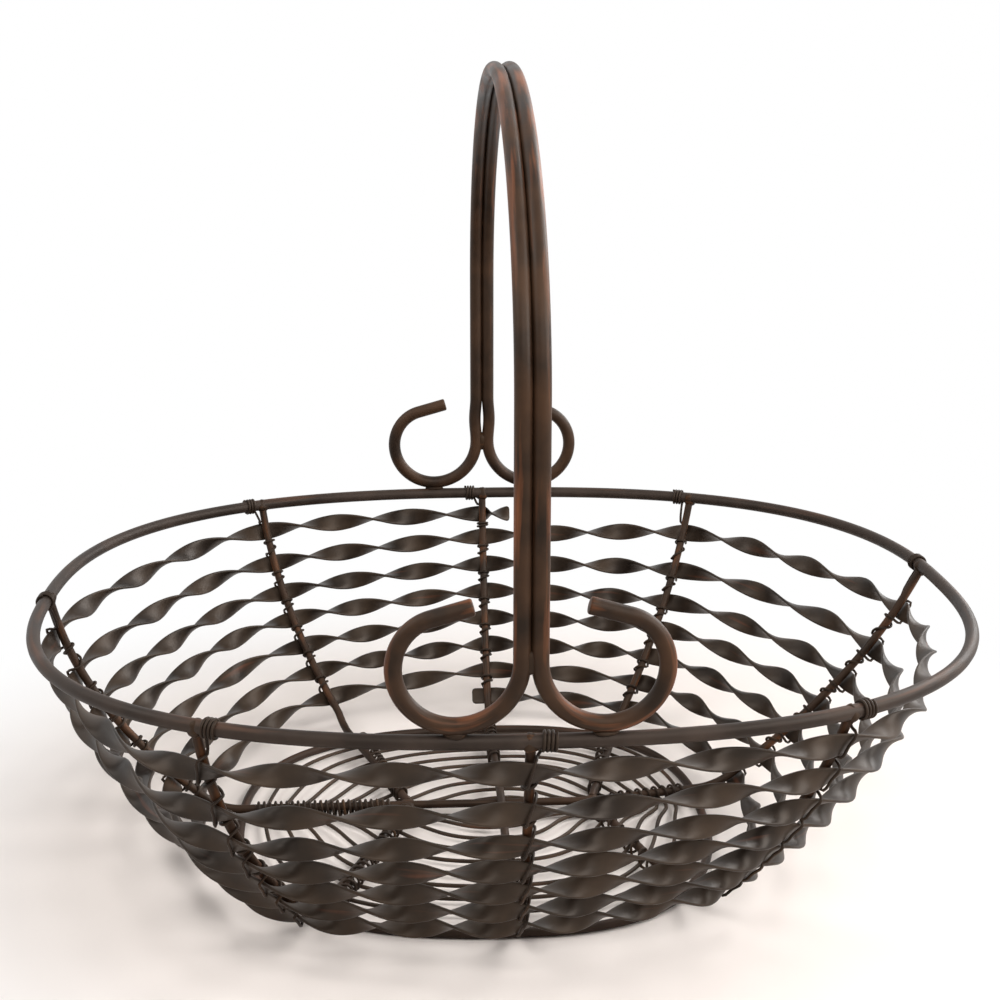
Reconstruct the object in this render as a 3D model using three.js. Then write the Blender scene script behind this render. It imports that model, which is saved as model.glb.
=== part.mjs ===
// Oval metal gathering basket with an arched handle, in millimetres, +Z up, standing on z = 0.
// Six rib wires run down the wall and across the floor. One long flat strip, twisted all the way,
// is wound round the outside of the ribs in a spiral and tied to each of them with thin wire.
// The floor is a wire coil under the ribs inside a foot ring, and the handle is a pair of round
// wires whose four ends open into scrolls that stand on the rim.

import * as THREE from 'three';

// Rim: a round wire bent to a rounded oval, sizes to the middle of the wire
const RIM_HALF_LENGTH = 200;
const RIM_HALF_WIDTH = 175;
const RIM_SQUARENESS = 2.5;
const RIM_HEIGHT = 110;
const RIM_WIRE = 5.6;

// Foot of the wall: the hand-bent oval where the ribs turn under, not quite central below the rim
const FOOT_TO_RIGHT = 102;
const FOOT_TO_LEFT = 128;
const FOOT_TO_FRONT = 122;
const FOOT_TO_BACK = 108;
const FOOT_SQUARENESS = 2.5;
const FOOT_WIRE = 4;

// Floor coil: one wire wound outwards from the long rib
const COIL_WIRE = 1.8;
const COIL_TURNS = 9;
const COIL_INNER_HALF_LENGTH = 47;
const COIL_INNER_HALF_WIDTH = 5;
const COIL_RING_GAP = 4;

// Wall: part of its way in is a straight lean, more so at the right, and the rest curves in with
// depth to a power
const WALL_LEAN = 0.42;
const WALL_LEAN_TO_RIGHT = 0.12;
const WALL_CURVE = 2.2;

// Ribs: wire, length of the bend at the foot, and where each one stands round the rim
const RIB_WIRE = 3.8;
const RIB_BEND = 9;
const HUB_SPACING = 86;
const RIB_DEGREES = {
  right: 7,
  back_right: 54.5,
  back: 90,
  back_left: 127.5,
  left: 180,
  front_left: 232.5,
  front: 270,
  front_right: 307.5,
};

// Twisted strip: its half twists, which are longer in the bays at the left and right ribs, its lower
// end's height over the ground, the pitch of its rows down the wall, the depth under the rim where
// its last turn runs level, and how far it is pulled to the straight line between two ribs
const STRIP_WIDTH = 9;
const STRIP_THICKNESS = 1.3;
const STRIP_HALF_TWIST = 35.5;
const STRIP_END_HALF_TWIST = 44;
const END_RIBS = ['left', 'right'];
const STRIP_TURNS = 7;
const STRIP_FOOT_HEIGHT = 15;
const STRIP_ROW_PITCH = 14.8;
const STRIP_TOP_DEPTH = 11;
const STRIP_TAUTNESS = 0.4;
const STRIP_LOW_TAIL = 8;
const STRIP_HIGH_TAIL = 15;

// Share of a row that the strip has climbed where it is tied to each rib, clockwise from the back:
// on the lower turns, and on the last one, which is drawn up under the rim at the front. The turn
// before the last goes part of the way.
const TIED_CLIMB = {
  back: [0, 0],
  back_right: [-0.11, 0.39],
  right: [-0.26, 0.21],
  front_right: [0.63, 0.95],
  front: [0.42, 0.96],
  front_left: [-0.13, 0.45],
  left: [-0.3, 0.3],
  back_left: [0.4, 0.65],
};
const DRAWN_UP_BEFORE_LAST = 0.32;

// Lashing: one thin wire on each rib, wrapped on the rim first
const LASHING_WIRE = 1.2;
const LASHING_SLACK = 0.25;
const RIM_WRAPS = 3;
const RIM_WRAP_PITCH = 1.6;

// Handle: straight leg above the rim, half-ellipse arch, scrolls that tighten and end in a straight
const HANDLE_WIRE = 6.35;
const HANDLE_LEG = 117;
const HANDLE_RISE = 109;
const SCROLL_RADIUS = 23;
const SCROLL_SWEEP = THREE.MathUtils.degToRad(244);
const SCROLL_TIGHTENING = 5;
const SCROLL_END = 14;

// Gap left between pieces that touch
const CLEARANCE = 0.3;

// Facets
const ROUND_SIDES = 8;
const RIB_SIDES = 6;
const COIL_SIDES = 5;
const LASHING_SIDES = 4;
const RIM_STEPS = 64;
const FOOT_STEPS = 48;
const COIL_STEPS_PER_TURN = 20;
const STRIP_STEPS_PER_HALF_TWIST = 5;
const WALL_STEPS = 9;
const BEND_STEPS = 4;
const SPOKE_STEPS = 8;
const SCROLL_STEPS = 16;
const ARCH_STEPS = 22;
const WRAP_STEPS = 8;

const TAU = 2 * Math.PI;
const UP = new THREE.Vector3(0, 0, 1);
const { lerp } = THREE.MathUtils;

// Finishes: aged bronze-brown iron, a little lighter where hands rub it
const iron = (color, roughness) => new THREE.MeshStandardMaterial({ color, roughness, metalness: 0.85 });
const basket = new THREE.Group();
function addPiece(name, geometry, color, roughness) {
  const piece = new THREE.Mesh(geometry, iron(color, roughness));
  piece.name = name;
  basket.add(piece);
}

// Closed skin over a row of equal rings of points. An open row is capped at both ends. A side in
// turnedSides is split along its other diagonal.
function loft(rings, closed, turnedSides = []) {
  const sides = rings[0].length;
  const spans = closed ? rings.length : rings.length - 1;
  const faces = [];
  for (let i = 0; i < spans; i += 1) {
    const near = i * sides;
    const far = ((i + 1) % rings.length) * sides;
    for (let j = 0; j < sides; j += 1) {
      const next = (j + 1) % sides;
      if (turnedSides.includes(j)) {
        faces.push([near + j, near + next, far + j], [near + next, far + next, far + j]);
      } else {
        faces.push([near + j, near + next, far + next], [near + j, far + next, far + j]);
      }
    }
  }
  if (!closed) {
    const last = (rings.length - 1) * sides;
    for (let j = 1; j < sides - 1; j += 1) {
      faces.push([0, j + 1, j], [last, last + j, last + j + 1]);
    }
  }
  const points = rings.flat();
  const volume = faces.reduce((sum, [a, b, c]) => (
    sum + points[a].dot(points[b].clone().cross(points[c]))
  ), 0);
  const outward = volume < 0 ? faces.map(([a, b, c]) => [a, c, b]) : faces;
  const geometry = new THREE.BufferGeometry().setFromPoints(points);
  geometry.setIndex(outward.flat());
  geometry.computeVertexNormals();
  return geometry;
}

// Directions of travel at each point of a polyline
function tangents(points, closed) {
  const count = points.length;
  return points.map((point, i) => {
    const before = closed ? points[(i + count - 1) % count] : points[Math.max(i - 1, 0)];
    const after = closed ? points[(i + 1) % count] : points[Math.min(i + 1, count - 1)];
    const arriving = point.clone().sub(before).normalize();
    const leaving = after.clone().sub(point).normalize();
    return arriving.add(leaving).normalize();
  });
}

// Round wire along an open polyline. The section is carried along without twisting.
function wire(points, diameter, sides) {
  const along = tangents(points, false);
  const seed = Math.abs(along[0].z) < 0.9 ? UP : new THREE.Vector3(0, 1, 0);
  let across = seed.clone().cross(along[0]).normalize();
  const rings = points.map((point, i) => {
    across = across.addScaledVector(along[i], -across.dot(along[i])).normalize();
    const other = along[i].clone().cross(across);
    return Array.from({ length: sides }, (_, j) => {
      const angle = TAU * j / sides;
      const offset = across.clone().multiplyScalar(Math.cos(angle)).addScaledVector(other, Math.sin(angle));
      return point.clone().addScaledVector(offset, diameter / 2);
    });
  });
  return loft(rings, false);
}

// Level closed ring of wire, with flat facets on top and underneath
function levelRing(points, diameter) {
  const along = tangents(points, true);
  const corner = diameter / 2 / Math.cos(Math.PI / ROUND_SIDES);
  const rings = points.map((point, i) => {
    const across = along[i].clone().cross(UP).normalize();
    return Array.from({ length: ROUND_SIDES }, (_, j) => {
      const angle = TAU * (j + 0.5) / ROUND_SIDES;
      return point.clone()
        .addScaledVector(across, corner * Math.cos(angle))
        .addScaledVector(UP, corner * Math.sin(angle));
    });
  });
  return loft(rings, true);
}

// Least distance between stretches of one path that are further apart than skip along it
function leastSelfGap(points, diameter, skip) {
  const run = [0];
  points.slice(1).forEach((point, i) => run.push(run[i] + point.distanceTo(points[i])));
  let least = Infinity;
  points.forEach((point, i) => points.slice(0, i).forEach((other, j) => {
    if (run[i] - run[j] > skip) {
      least = Math.min(least, point.distanceTo(other));
    }
  }));
  return least - diameter;
}
function reportGap(name, gap) {
  console.log(`${name}: least gap to itself ${gap.toFixed(2)} mm`);
}

// Value of a rising table at x
function lookUp(xs, ys, x) {
  const found = xs.findIndex((value) => value >= x);
  const i = THREE.MathUtils.clamp(found < 0 ? xs.length - 1 : found, 1, xs.length - 1);
  const share = (x - xs[i - 1]) / (xs[i] - xs[i - 1]);
  return lerp(ys[i - 1], ys[i], share);
}

// Oval: how far it reaches to each of four sides, and how square its corners are
const oval = (right, left, front, back, squareness) => ({ right, left, front, back, squareness });
const evenOval = (halfLength, halfWidth, squareness) => (
  oval(halfLength, halfLength, halfWidth, halfWidth, squareness)
);
const inset = ({ right, left, front, back, squareness }, by) => (
  oval(right - by, left - by, front - by, back - by, squareness)
);
const rimOval = evenOval(RIM_HALF_LENGTH, RIM_HALF_WIDTH, RIM_SQUARENESS);
const footOval = oval(FOOT_TO_RIGHT, FOOT_TO_LEFT, FOOT_TO_FRONT, FOOT_TO_BACK, FOOT_SQUARENESS);
function ovalPoint({ right, left, front, back, squareness }, angle, height) {
  const x = Math.cos(angle);
  const y = Math.sin(angle);
  const across = Math.abs(x / (x < 0 ? left : right)) ** squareness;
  const through = Math.abs(y / (y < 0 ? front : back)) ** squareness;
  const reach = (across + through) ** (-1 / squareness);
  return new THREE.Vector3(reach * x, reach * y, height);
}
const ovalRing = (shape, height, steps) => Array.from({ length: steps }, (_, i) => (
  ovalPoint(shape, TAU * i / steps, height)
));

// Wall: the surface that the middles of the rib wires lie on, from the rim down to the spokes
const SPOKE_HEIGHT = FOOT_WIRE + CLEARANCE + RIB_WIRE / 2;
const WALL_DEPTH = RIM_HEIGHT - SPOKE_HEIGHT;
function wallPoint(angle, depth) {
  const sunk = Math.max(depth, 0) / WALL_DEPTH;
  const lean = WALL_LEAN + WALL_LEAN_TO_RIGHT * Math.cos(angle);
  const share = lerp(sunk ** WALL_CURVE, sunk, lean);
  const plan = ovalPoint(rimOval, angle, 0).lerp(ovalPoint(footOval, angle, 0), share);
  return plan.setZ(RIM_HEIGHT - depth);
}

// Place on the wall with its directions: along (clockwise from above), down the wall, and out of it
function wallFrame(angle, depth) {
  const nudge = 0.01;
  const at = wallPoint(angle, depth);
  const along = wallPoint(angle - nudge, depth).sub(wallPoint(angle + nudge, depth)).normalize();
  const below = wallPoint(angle, depth + nudge).sub(wallPoint(angle, depth)).normalize();
  const out = along.clone().cross(below).normalize();
  const down = out.clone().cross(along);
  return { at, along, down, out };
}
function placeOn({ at, along, down, out }, sideways, outwards, downwards) {
  return at.clone()
    .addScaledVector(along, sideways)
    .addScaledVector(out, outwards)
    .addScaledVector(down, downwards);
}

// Rim and foot ring
addPiece('rim_ring', levelRing(ovalRing(rimOval, RIM_HEIGHT, RIM_STEPS), RIM_WIRE), '#54483f', 0.5);
const footRing = inset(footOval, RIB_BEND);
addPiece('foot_ring', levelRing(ovalRing(footRing, FOOT_WIRE / 2, FOOT_STEPS), FOOT_WIRE), '#453a33', 0.55);

// Rib from under the rim down the wall and round the bend, ready to run to its hub on the floor
const RIB_TOP_DEPTH = RIM_WIRE / 2 + CLEARANCE;
function ribWall(angle, hub) {
  const slope = wallFrame(angle, WALL_DEPTH).down;
  const bendDepth = WALL_DEPTH - RIB_BEND * Math.abs(slope.z);
  const wall = Array.from({ length: WALL_STEPS + 1 }, (_, i) => (
    wallPoint(angle, lerp(RIB_TOP_DEPTH, bendDepth, i / WALL_STEPS))
  ));
  const start = wall[WALL_STEPS];
  const direction = wallFrame(angle, bendDepth).down;
  const corner = start.clone().addScaledVector(direction, (start.z - SPOKE_HEIGHT) / -direction.z);
  const inward = hub.clone().sub(corner).normalize();
  const end = corner.clone().addScaledVector(inward, corner.distanceTo(start));
  const bend = new THREE.QuadraticBezierCurve3(start, corner, end).getPoints(BEND_STEPS);
  return [...wall, ...bend.slice(1)];
}
const ribAngles = Object.fromEntries(Object.entries(RIB_DEGREES).map(([rib, degrees]) => (
  [rib, THREE.MathUtils.degToRad(degrees)]
)));
const hubPoint = (x, y) => new THREE.Vector3(x, y, SPOKE_HEIGHT);

// Rib from rim to rim across the floor by way of two hubs, lifted in between by the given height
function throughRib(nearRib, nearHub, farRib, farHub, lift) {
  const near = ribWall(ribAngles[nearRib], nearHub);
  const far = ribWall(ribAngles[farRib], farHub).reverse();
  const crossing = Array.from({ length: SPOKE_STEPS + 1 }, (_, i) => {
    const share = i / SPOKE_STEPS;
    return nearHub.clone().lerp(farHub, share).setZ(SPOKE_HEIGHT + lift * Math.sin(Math.PI * share) ** 2);
  });
  return wire([...near, ...crossing, ...far], RIB_WIRE, RIB_SIDES);
}
const rightHub = hubPoint(HUB_SPACING / 2, 0);
const leftHub = hubPoint(-HUB_SPACING / 2, 0);
const backHub = hubPoint(0, HUB_SPACING / 2);
const frontHub = hubPoint(0, -HUB_SPACING / 2);
addPiece('rib_long', throughRib('right', rightHub, 'left', leftHub, 0), '#3b302a', 0.55);
addPiece('rib_cross', throughRib('back', backHub, 'front', frontHub, RIB_WIRE + CLEARANCE), '#3b302a', 0.55);

// Diagonal ribs stop beside the long rib, at its hubs
function diagonalRib(angle) {
  const hub = hubPoint(
    Math.sign(Math.cos(angle)) * HUB_SPACING / 2,
    Math.sign(Math.sin(angle)) * (RIB_WIRE + CLEARANCE),
  );
  return wire([...ribWall(angle, hub), hub], RIB_WIRE, RIB_SIDES);
}
['back_right', 'back_left', 'front_left', 'front_right'].forEach((corner) => {
  addPiece(`rib_${corner}`, diagonalRib(ribAngles[corner]), '#3b302a', 0.55);
});

// Floor coil, under the spokes
function floorCoil() {
  const inner = evenOval(COIL_INNER_HALF_LENGTH, COIL_INNER_HALF_WIDTH, FOOT_SQUARENESS);
  const outer = inset(footRing, FOOT_WIRE / 2 + COIL_RING_GAP + COIL_WIRE / 2);
  const height = SPOKE_HEIGHT - RIB_WIRE / 2 - CLEARANCE - COIL_WIRE / 2;
  const steps = COIL_TURNS * COIL_STEPS_PER_TURN;
  return Array.from({ length: steps + 1 }, (_, i) => {
    const angle = -TAU * i / COIL_STEPS_PER_TURN;
    return ovalPoint(inner, angle, height).lerp(ovalPoint(outer, angle, height), i / steps);
  });
}
const coilPath = floorCoil();
addPiece('floor_coil', wire(coilPath, COIL_WIRE, COIL_SIDES), '#4a3f38', 0.5);
reportGap('floor_coil', leastSelfGap(coilPath, COIL_WIRE, COIL_INNER_HALF_LENGTH / 2));

// Height of the strip's rows: equal steps measured down the wall at the back
const WALL_SAMPLES = 100;
const wallDepths = Array.from({ length: WALL_SAMPLES + 1 }, (_, i) => WALL_DEPTH * i / WALL_SAMPLES);
const wallRuns = [0];
wallDepths.slice(1).forEach((depth, i) => {
  const step = wallPoint(ribAngles.back, depth).distanceTo(wallPoint(ribAngles.back, wallDepths[i]));
  wallRuns.push(wallRuns[i] + step);
});
const turnTo = (rib) => THREE.MathUtils.euclideanModulo((ribAngles.back - ribAngles[rib]) / TAU, 1);
const tiedTurns = [...Object.keys(TIED_CLIMB).map(turnTo), 1];
const lowerShares = [...Object.values(TIED_CLIMB).map(([lower]) => lower), 1];
const lastShares = [...Object.values(TIED_CLIMB).map(([, last]) => last), 1];
function stripDepth(turn) {
  const counted = THREE.MathUtils.clamp(turn, 0, STRIP_TURNS);
  const whole = Math.min(Math.floor(counted), STRIP_TURNS - 1);
  const drawnUp = [1, DRAWN_UP_BEFORE_LAST][STRIP_TURNS - 1 - whole] ?? 0;
  const lower = lookUp(tiedTurns, lowerShares, counted - whole);
  const last = lookUp(tiedTurns, lastShares, counted - whole);
  const rows = whole + lerp(lower, last, drawnUp);
  const lowRun = lookUp(wallDepths, wallRuns, RIM_HEIGHT - STRIP_FOOT_HEIGHT);
  const depth = lookUp(wallRuns, wallDepths, Math.max(0, lowRun - rows * STRIP_ROW_PITCH));
  return Math.max(depth, STRIP_TOP_DEPTH);
}

// The strip starts at the back beside the back rib and climbs clockwise; turns count from that rib
const stripAngle = (turn) => ribAngles.back - TAU * turn;
const tailTurns = (tail, turn) => tail / wallPoint(ribAngles.back, stripDepth(turn)).y / TAU;
const firstTurn = -tailTurns(STRIP_LOW_TAIL, 0);
const lastTurn = STRIP_TURNS + tailTurns(STRIP_HIGH_TAIL, STRIP_TURNS);
const TURN_SAMPLES = 180;
const turnTable = Array.from({ length: STRIP_TURNS * TURN_SAMPLES + 1 }, (_, i) => (
  lerp(firstTurn, lastTurn, i / (STRIP_TURNS * TURN_SAMPLES))
));
const stripRest = RIB_WIRE / 2 + CLEARANCE + STRIP_THICKNESS;
const seatedAt = (turn, outwards) => (
  placeOn(wallFrame(stripAngle(turn), stripDepth(turn)), 0, outwards, 0)
);
const runTable = [0];
turnTable.slice(1).forEach((turn, i) => {
  runTable.push(runTable[i] + seatedAt(turn, stripRest).distanceTo(seatedAt(turnTable[i], stripRest)));
});
const runAt = (turn) => lookUp(turnTable, runTable, turn);
const turnAt = (run) => lookUp(runTable, turnTable, run);

// Where the strip crosses each rib, from the lower end up
const crossings = Object.entries(ribAngles).flatMap(([rib, angle]) => {
  return Array.from({ length: STRIP_TURNS + 1 }, (_, i) => turnTo(rib) + i)
    .filter((turn) => turn > firstTurn && turn < lastTurn)
    .map((turn) => ({ rib, angle, turn, depth: stripDepth(turn), run: runAt(turn) }));
}).sort((a, b) => a.turn - b.turn);

// Between two ribs the strip makes a whole number of half twists, so that it lies flat on each rib
const stops = [0, ...crossings.map(({ run }) => run), runTable[runTable.length - 1]];
const stopTwists = [0];
const stripRuns = [0];
stops.slice(1).forEach((stop, i) => {
  const bayRibs = crossings.slice(Math.max(0, i - 1), i + 1).map(({ rib }) => rib);
  const isTail = bayRibs.length < 2;
  const isEndBay = bayRibs.some((rib) => END_RIBS.includes(rib));
  const wanted = (stop - stops[i]) / (isEndBay ? STRIP_END_HALF_TWIST : STRIP_HALF_TWIST);
  const halfTwists = isTail ? wanted : Math.max(1, Math.round(wanted));
  const steps = Math.ceil(halfTwists * STRIP_STEPS_PER_HALF_TWIST);
  stopTwists.push(stopTwists[i] + Math.PI * halfTwists);
  for (let j = 1; j <= steps; j += 1) {
    stripRuns.push(lerp(stops[i], stop, j / steps));
  }
});
const twistAt = (run) => lookUp(stops, stopTwists, run) - stopTwists[1];

// How far the twisted section reaches out of the wall and along it, to each side of its middle
const half = (across, twist) => (
  Math.abs(Math.sin(twist)) * across / 2 + Math.abs(Math.cos(twist)) * (STRIP_WIDTH + STRIP_THICKNESS - across) / 2
);
const outwardHalf = (run) => half(STRIP_WIDTH, twistAt(run));
const downwardHalf = (run) => half(STRIP_THICKNESS, twistAt(run));

// Reach of the faceted strip within a short window to each side of a crossing
function reachNear(run, window, halfSize) {
  const i = stripRuns.findIndex((value) => value >= run - 1e-6);
  const reaches = [i - 1, i + 1].map((neighbour) => {
    const share = Math.min(1, window / Math.abs(stripRuns[neighbour] - run));
    return lerp(halfSize(run), halfSize(stripRuns[neighbour]), share);
  });
  return Math.max(halfSize(run), ...reaches);
}

// The strip rests on the outside of every rib that it crosses, and is pulled in between them
const lashingReach = RIB_WIRE / 2 + CLEARANCE + LASHING_WIRE / 2 + LASHING_SLACK;
crossings.forEach((crossing) => {
  const window = lashingReach + LASHING_WIRE / 2;
  crossing.outHalf = reachNear(crossing.run, window, outwardHalf);
  crossing.downHalf = reachNear(crossing.run, window, downwardHalf);
  crossing.seat = RIB_WIRE / 2 + CLEARANCE + reachNear(crossing.run, RIB_WIRE / 3, outwardHalf);
});
function stripMiddle(run) {
  const turn = turnAt(run);
  const next = crossings.findIndex((crossing) => crossing.run >= run);
  if (next < 1) {
    return seatedAt(turn, crossings.at(next).seat);
  }
  const before = crossings[next - 1];
  const after = crossings[next];
  const share = (run - before.run) / (after.run - before.run);
  const bow = seatedAt((before.turn + after.turn) / 2, 0);
  const chord = seatedAt(before.turn, 0).lerp(seatedAt(after.turn, 0), 0.5);
  return seatedAt(turn, lerp(before.seat, after.seat, share))
    .addScaledVector(chord.sub(bow), STRIP_TAUTNESS * Math.sin(Math.PI * share) ** 2);
}

// Twisted strip: a flat section turned half a turn every half-twist length along the spiral
const stripPath = [];
const stripRings = stripRuns.map((run) => {
  const turn = turnAt(run);
  const frame = wallFrame(stripAngle(turn), stripDepth(turn));
  const middle = stripMiddle(run);
  stripPath.push(middle);
  const twist = twistAt(run);
  const wide = frame.down.clone().multiplyScalar(Math.cos(twist)).addScaledVector(frame.out, Math.sin(twist));
  const thick = frame.out.clone().multiplyScalar(Math.cos(twist)).addScaledVector(frame.down, -Math.sin(twist));
  return [[1, 1], [-1, 1], [-1, -1], [1, -1]].map(([w, t]) => middle.clone()
    .addScaledVector(wide, w * STRIP_WIDTH / 2)
    .addScaledVector(thick, t * STRIP_THICKNESS / 2));
});
const INNER_FACE = 2;
addPiece('twisted_strip', loft(stripRings, false, [INNER_FACE]), '#40372f', 0.45);
reportGap('twisted_strip', leastSelfGap(stripPath, STRIP_WIDTH, RIM_HALF_WIDTH));

// Lashing: wraps on the rim beside the rib, then over the strip and behind the rib, row by row
function lashingPath(rib, angle) {
  const rows = crossings.filter((crossing) => crossing.rib === rib).reverse();
  const rimCorner = RIM_WIRE / 2 / Math.cos(Math.PI / ROUND_SIDES);
  const wrapRadius = (rimCorner + CLEARANCE + LASHING_WIRE / 2) / Math.cos(Math.PI / WRAP_STEPS);
  const rimReach = wallPoint(angle, 0).length();
  const wrapSteps = RIM_WRAPS * WRAP_STEPS;
  const path = Array.from({ length: wrapSteps + 1 }, (_, i) => {
    const left = RIM_WRAPS * RIM_WRAP_PITCH * (1 - i / wrapSteps) + lashingReach + RIM_WRAP_PITCH;
    const frame = wallFrame(angle + left / rimReach, 0);
    const turn = TAU * (i / WRAP_STEPS - RIM_WRAPS) + Math.PI / 2;
    return placeOn(frame, 0, wrapRadius * Math.cos(turn), wrapRadius * Math.sin(turn));
  });
  const onRib = (depth, sideways, outwards) => placeOn(wallFrame(angle, depth), sideways, outwards, 0);
  const margin = CLEARANCE + LASHING_WIRE / 2 + LASHING_SLACK;
  rows.forEach(({ depth, seat, outHalf, downHalf }, i) => {
    const outside = seat + outHalf + margin;
    const beyond = (downHalf + margin) * Math.abs(wallFrame(angle, depth).down.z);
    path.push(
      onRib(depth - beyond, -lashingReach, 0),
      onRib(depth - beyond, -lashingReach / 2, outside),
      onRib(depth, 0, outside),
      onRib(depth + beyond, lashingReach / 2, outside),
      onRib(depth + beyond, lashingReach, 0),
    );
    if (i + 1 < rows.length) {
      const between = (depth + rows[i + 1].depth) / 2;
      const slant = lashingReach * Math.SQRT1_2;
      path.push(
        onRib(between - LASHING_WIRE / 2, slant, -slant),
        onRib(between, 0, -lashingReach),
        onRib(between + LASHING_WIRE / 2, -slant, -slant),
      );
    }
  });
  return path;
}
let lashingGap = Infinity;
Object.entries(ribAngles).forEach(([rib, angle]) => {
  const path = lashingPath(rib, angle);
  lashingGap = Math.min(lashingGap, leastSelfGap(path, LASHING_WIRE, 2 * RIM_WIRE));
  addPiece(`lashing_${rib}`, wire(path, LASHING_WIRE, LASHING_SIDES), '#5a4436', 0.5);
});
reportGap('lashings', lashingGap);

// Handle wire: scroll on the rim at the back, leg, arch, leg, scroll on the rim at the front
function handleWire(side) {
  const legX = side * (HANDLE_WIRE + CLEARANCE) / 2;
  const scrollX = legX + side * SCROLL_RADIUS;
  const rimTop = RIM_HEIGHT + RIM_WIRE / 2;
  const scrollZ = rimTop + CLEARANCE + HANDLE_WIRE / 2 + SCROLL_RADIUS;
  const scrollPoint = (y, turned) => {
    const past = Math.max(0, turned - Math.PI / 2) / (SCROLL_SWEEP - Math.PI / 2);
    const radius = SCROLL_RADIUS - SCROLL_TIGHTENING * past ** 2;
    return new THREE.Vector3(
      scrollX - side * radius * Math.cos(turned), y, scrollZ - radius * Math.sin(turned),
    );
  };
  const scroll = (y) => {
    const nudge = 0.01;
    const curl = Array.from({ length: SCROLL_STEPS + 1 }, (_, i) => (
      scrollPoint(y, SCROLL_SWEEP * i / SCROLL_STEPS)
    ));
    const onward = scrollPoint(y, SCROLL_SWEEP).sub(scrollPoint(y, SCROLL_SWEEP - nudge)).normalize();
    return [...curl, curl[SCROLL_STEPS].clone().addScaledVector(onward, SCROLL_END)];
  };
  const archZ = RIM_HEIGHT + HANDLE_LEG;
  const arch = Array.from({ length: ARCH_STEPS + 1 }, (_, i) => {
    const angle = Math.PI * i / ARCH_STEPS;
    return new THREE.Vector3(
      legX, RIM_HALF_WIDTH * Math.cos(angle), archZ + HANDLE_RISE * Math.sin(angle),
    );
  });
  const path = [...scroll(RIM_HALF_WIDTH).reverse(), ...arch, ...scroll(-RIM_HALF_WIDTH)];
  return wire(path, HANDLE_WIRE, ROUND_SIDES);
}
addPiece('handle_wire_right', handleWire(1), '#4b3a2d', 0.45);
addPiece('handle_wire_left', handleWire(-1), '#4b3a2d', 0.45);

export default basket;
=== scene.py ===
# %% [markdown]
# # An oval gathering basket of patinated iron
# The basket is wirework: a rim, a foot ring and six ribs of round iron wire, a wire coil for a floor, and
# one long flat strip, twisted all the way along, wound round the ribs and tied to them with thin wire.
# Two thicker wires, scrolled at their four ends, make the handle.
# Curve objects with a bevel could draw all of it. Here the surfaces are worked out with numpy instead,
# because ties, twists and wear have to be known at each point of them.
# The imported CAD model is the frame: it says where everything is and how big it is, in metres.

# %% Load the frame
import math

import bpy
import numpy as np
from mathutils import Matrix, Vector


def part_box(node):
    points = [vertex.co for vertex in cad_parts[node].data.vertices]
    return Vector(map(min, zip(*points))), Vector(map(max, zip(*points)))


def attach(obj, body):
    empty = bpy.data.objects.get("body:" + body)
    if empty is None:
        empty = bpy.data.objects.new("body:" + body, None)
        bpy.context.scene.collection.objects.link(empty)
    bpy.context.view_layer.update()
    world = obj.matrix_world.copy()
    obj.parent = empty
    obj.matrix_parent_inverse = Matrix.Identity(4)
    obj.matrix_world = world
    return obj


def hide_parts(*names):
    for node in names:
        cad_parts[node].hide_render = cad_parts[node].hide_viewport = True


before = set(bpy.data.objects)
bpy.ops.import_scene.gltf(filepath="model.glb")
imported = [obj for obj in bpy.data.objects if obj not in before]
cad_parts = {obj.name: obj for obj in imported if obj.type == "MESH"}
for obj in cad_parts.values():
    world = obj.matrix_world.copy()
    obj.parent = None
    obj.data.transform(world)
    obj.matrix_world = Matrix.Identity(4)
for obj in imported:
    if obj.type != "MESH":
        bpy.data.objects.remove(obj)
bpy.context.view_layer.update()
MM = 0.001
TAU = 2.0 * math.pi
UP = np.array([0.0, 0.0, 1.0])
print("nodes in the frame:", len(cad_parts))

# %% [markdown]
# ## Rim and foot sizes
# Rim and foot are level rings of wire, so their boxes in the frame give the wire's thickness, the height of
# its middle and its reach to each side. The numbers could be typed in again, but read from the frame they
# can't disagree with it.

# %% Rim and foot sizes


def node_box(node):
    """Lowest and highest corner of a CAD node as arrays."""
    low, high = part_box(node)
    return np.array(low), np.array(high)


rim_low, rim_high = node_box("rim_ring")
RIM_WIRE = rim_high[2] - rim_low[2]
RIM_HEIGHT = (rim_high[2] + rim_low[2]) / 2
RIM_TO_RIGHT, RIM_TO_BACK = rim_high[:2] - RIM_WIRE / 2
RIM_TO_LEFT, RIM_TO_FRONT = -rim_low[:2] - RIM_WIRE / 2
foot_low, foot_high = node_box("foot_ring")
FOOT_WIRE = foot_high[2] - foot_low[2]
FOOT_TO_RIGHT, FOOT_TO_BACK = foot_high[:2] - FOOT_WIRE / 2
FOOT_TO_LEFT, FOOT_TO_FRONT = -foot_low[:2] - FOOT_WIRE / 2
print(f"rim wire {RIM_WIRE / MM:.2f} mm at {RIM_HEIGHT / MM:.1f} mm, foot wire {FOOT_WIRE / MM:.2f} mm")

# %% [markdown]
# ## The oval
# Rim and foot were bent to rounded ovals with squarish shoulders, and the foot, bent by hand, reaches a
# different way to each side. A curve could be drawn by eye over a plan. A formula with a power a little over
# 2 is shorter, and it gives the point at any angle, which everything tied to the rings will ask for.

# %% Oval
SQUARENESS = 2.5


def oval(angle, right, left, front, back):
    """Plan point of a rounded oval at a polar angle, where |x / a|^n + |y / b|^n = 1."""
    x, y = np.cos(angle), np.sin(angle)
    across = np.abs(x / np.where(x < 0, left, right)) ** SQUARENESS
    through = np.abs(y / np.where(y < 0, front, back)) ** SQUARENESS
    reach = (across + through) ** (-1 / SQUARENESS)
    return np.stack([reach * x, reach * y], axis=-1)


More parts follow.
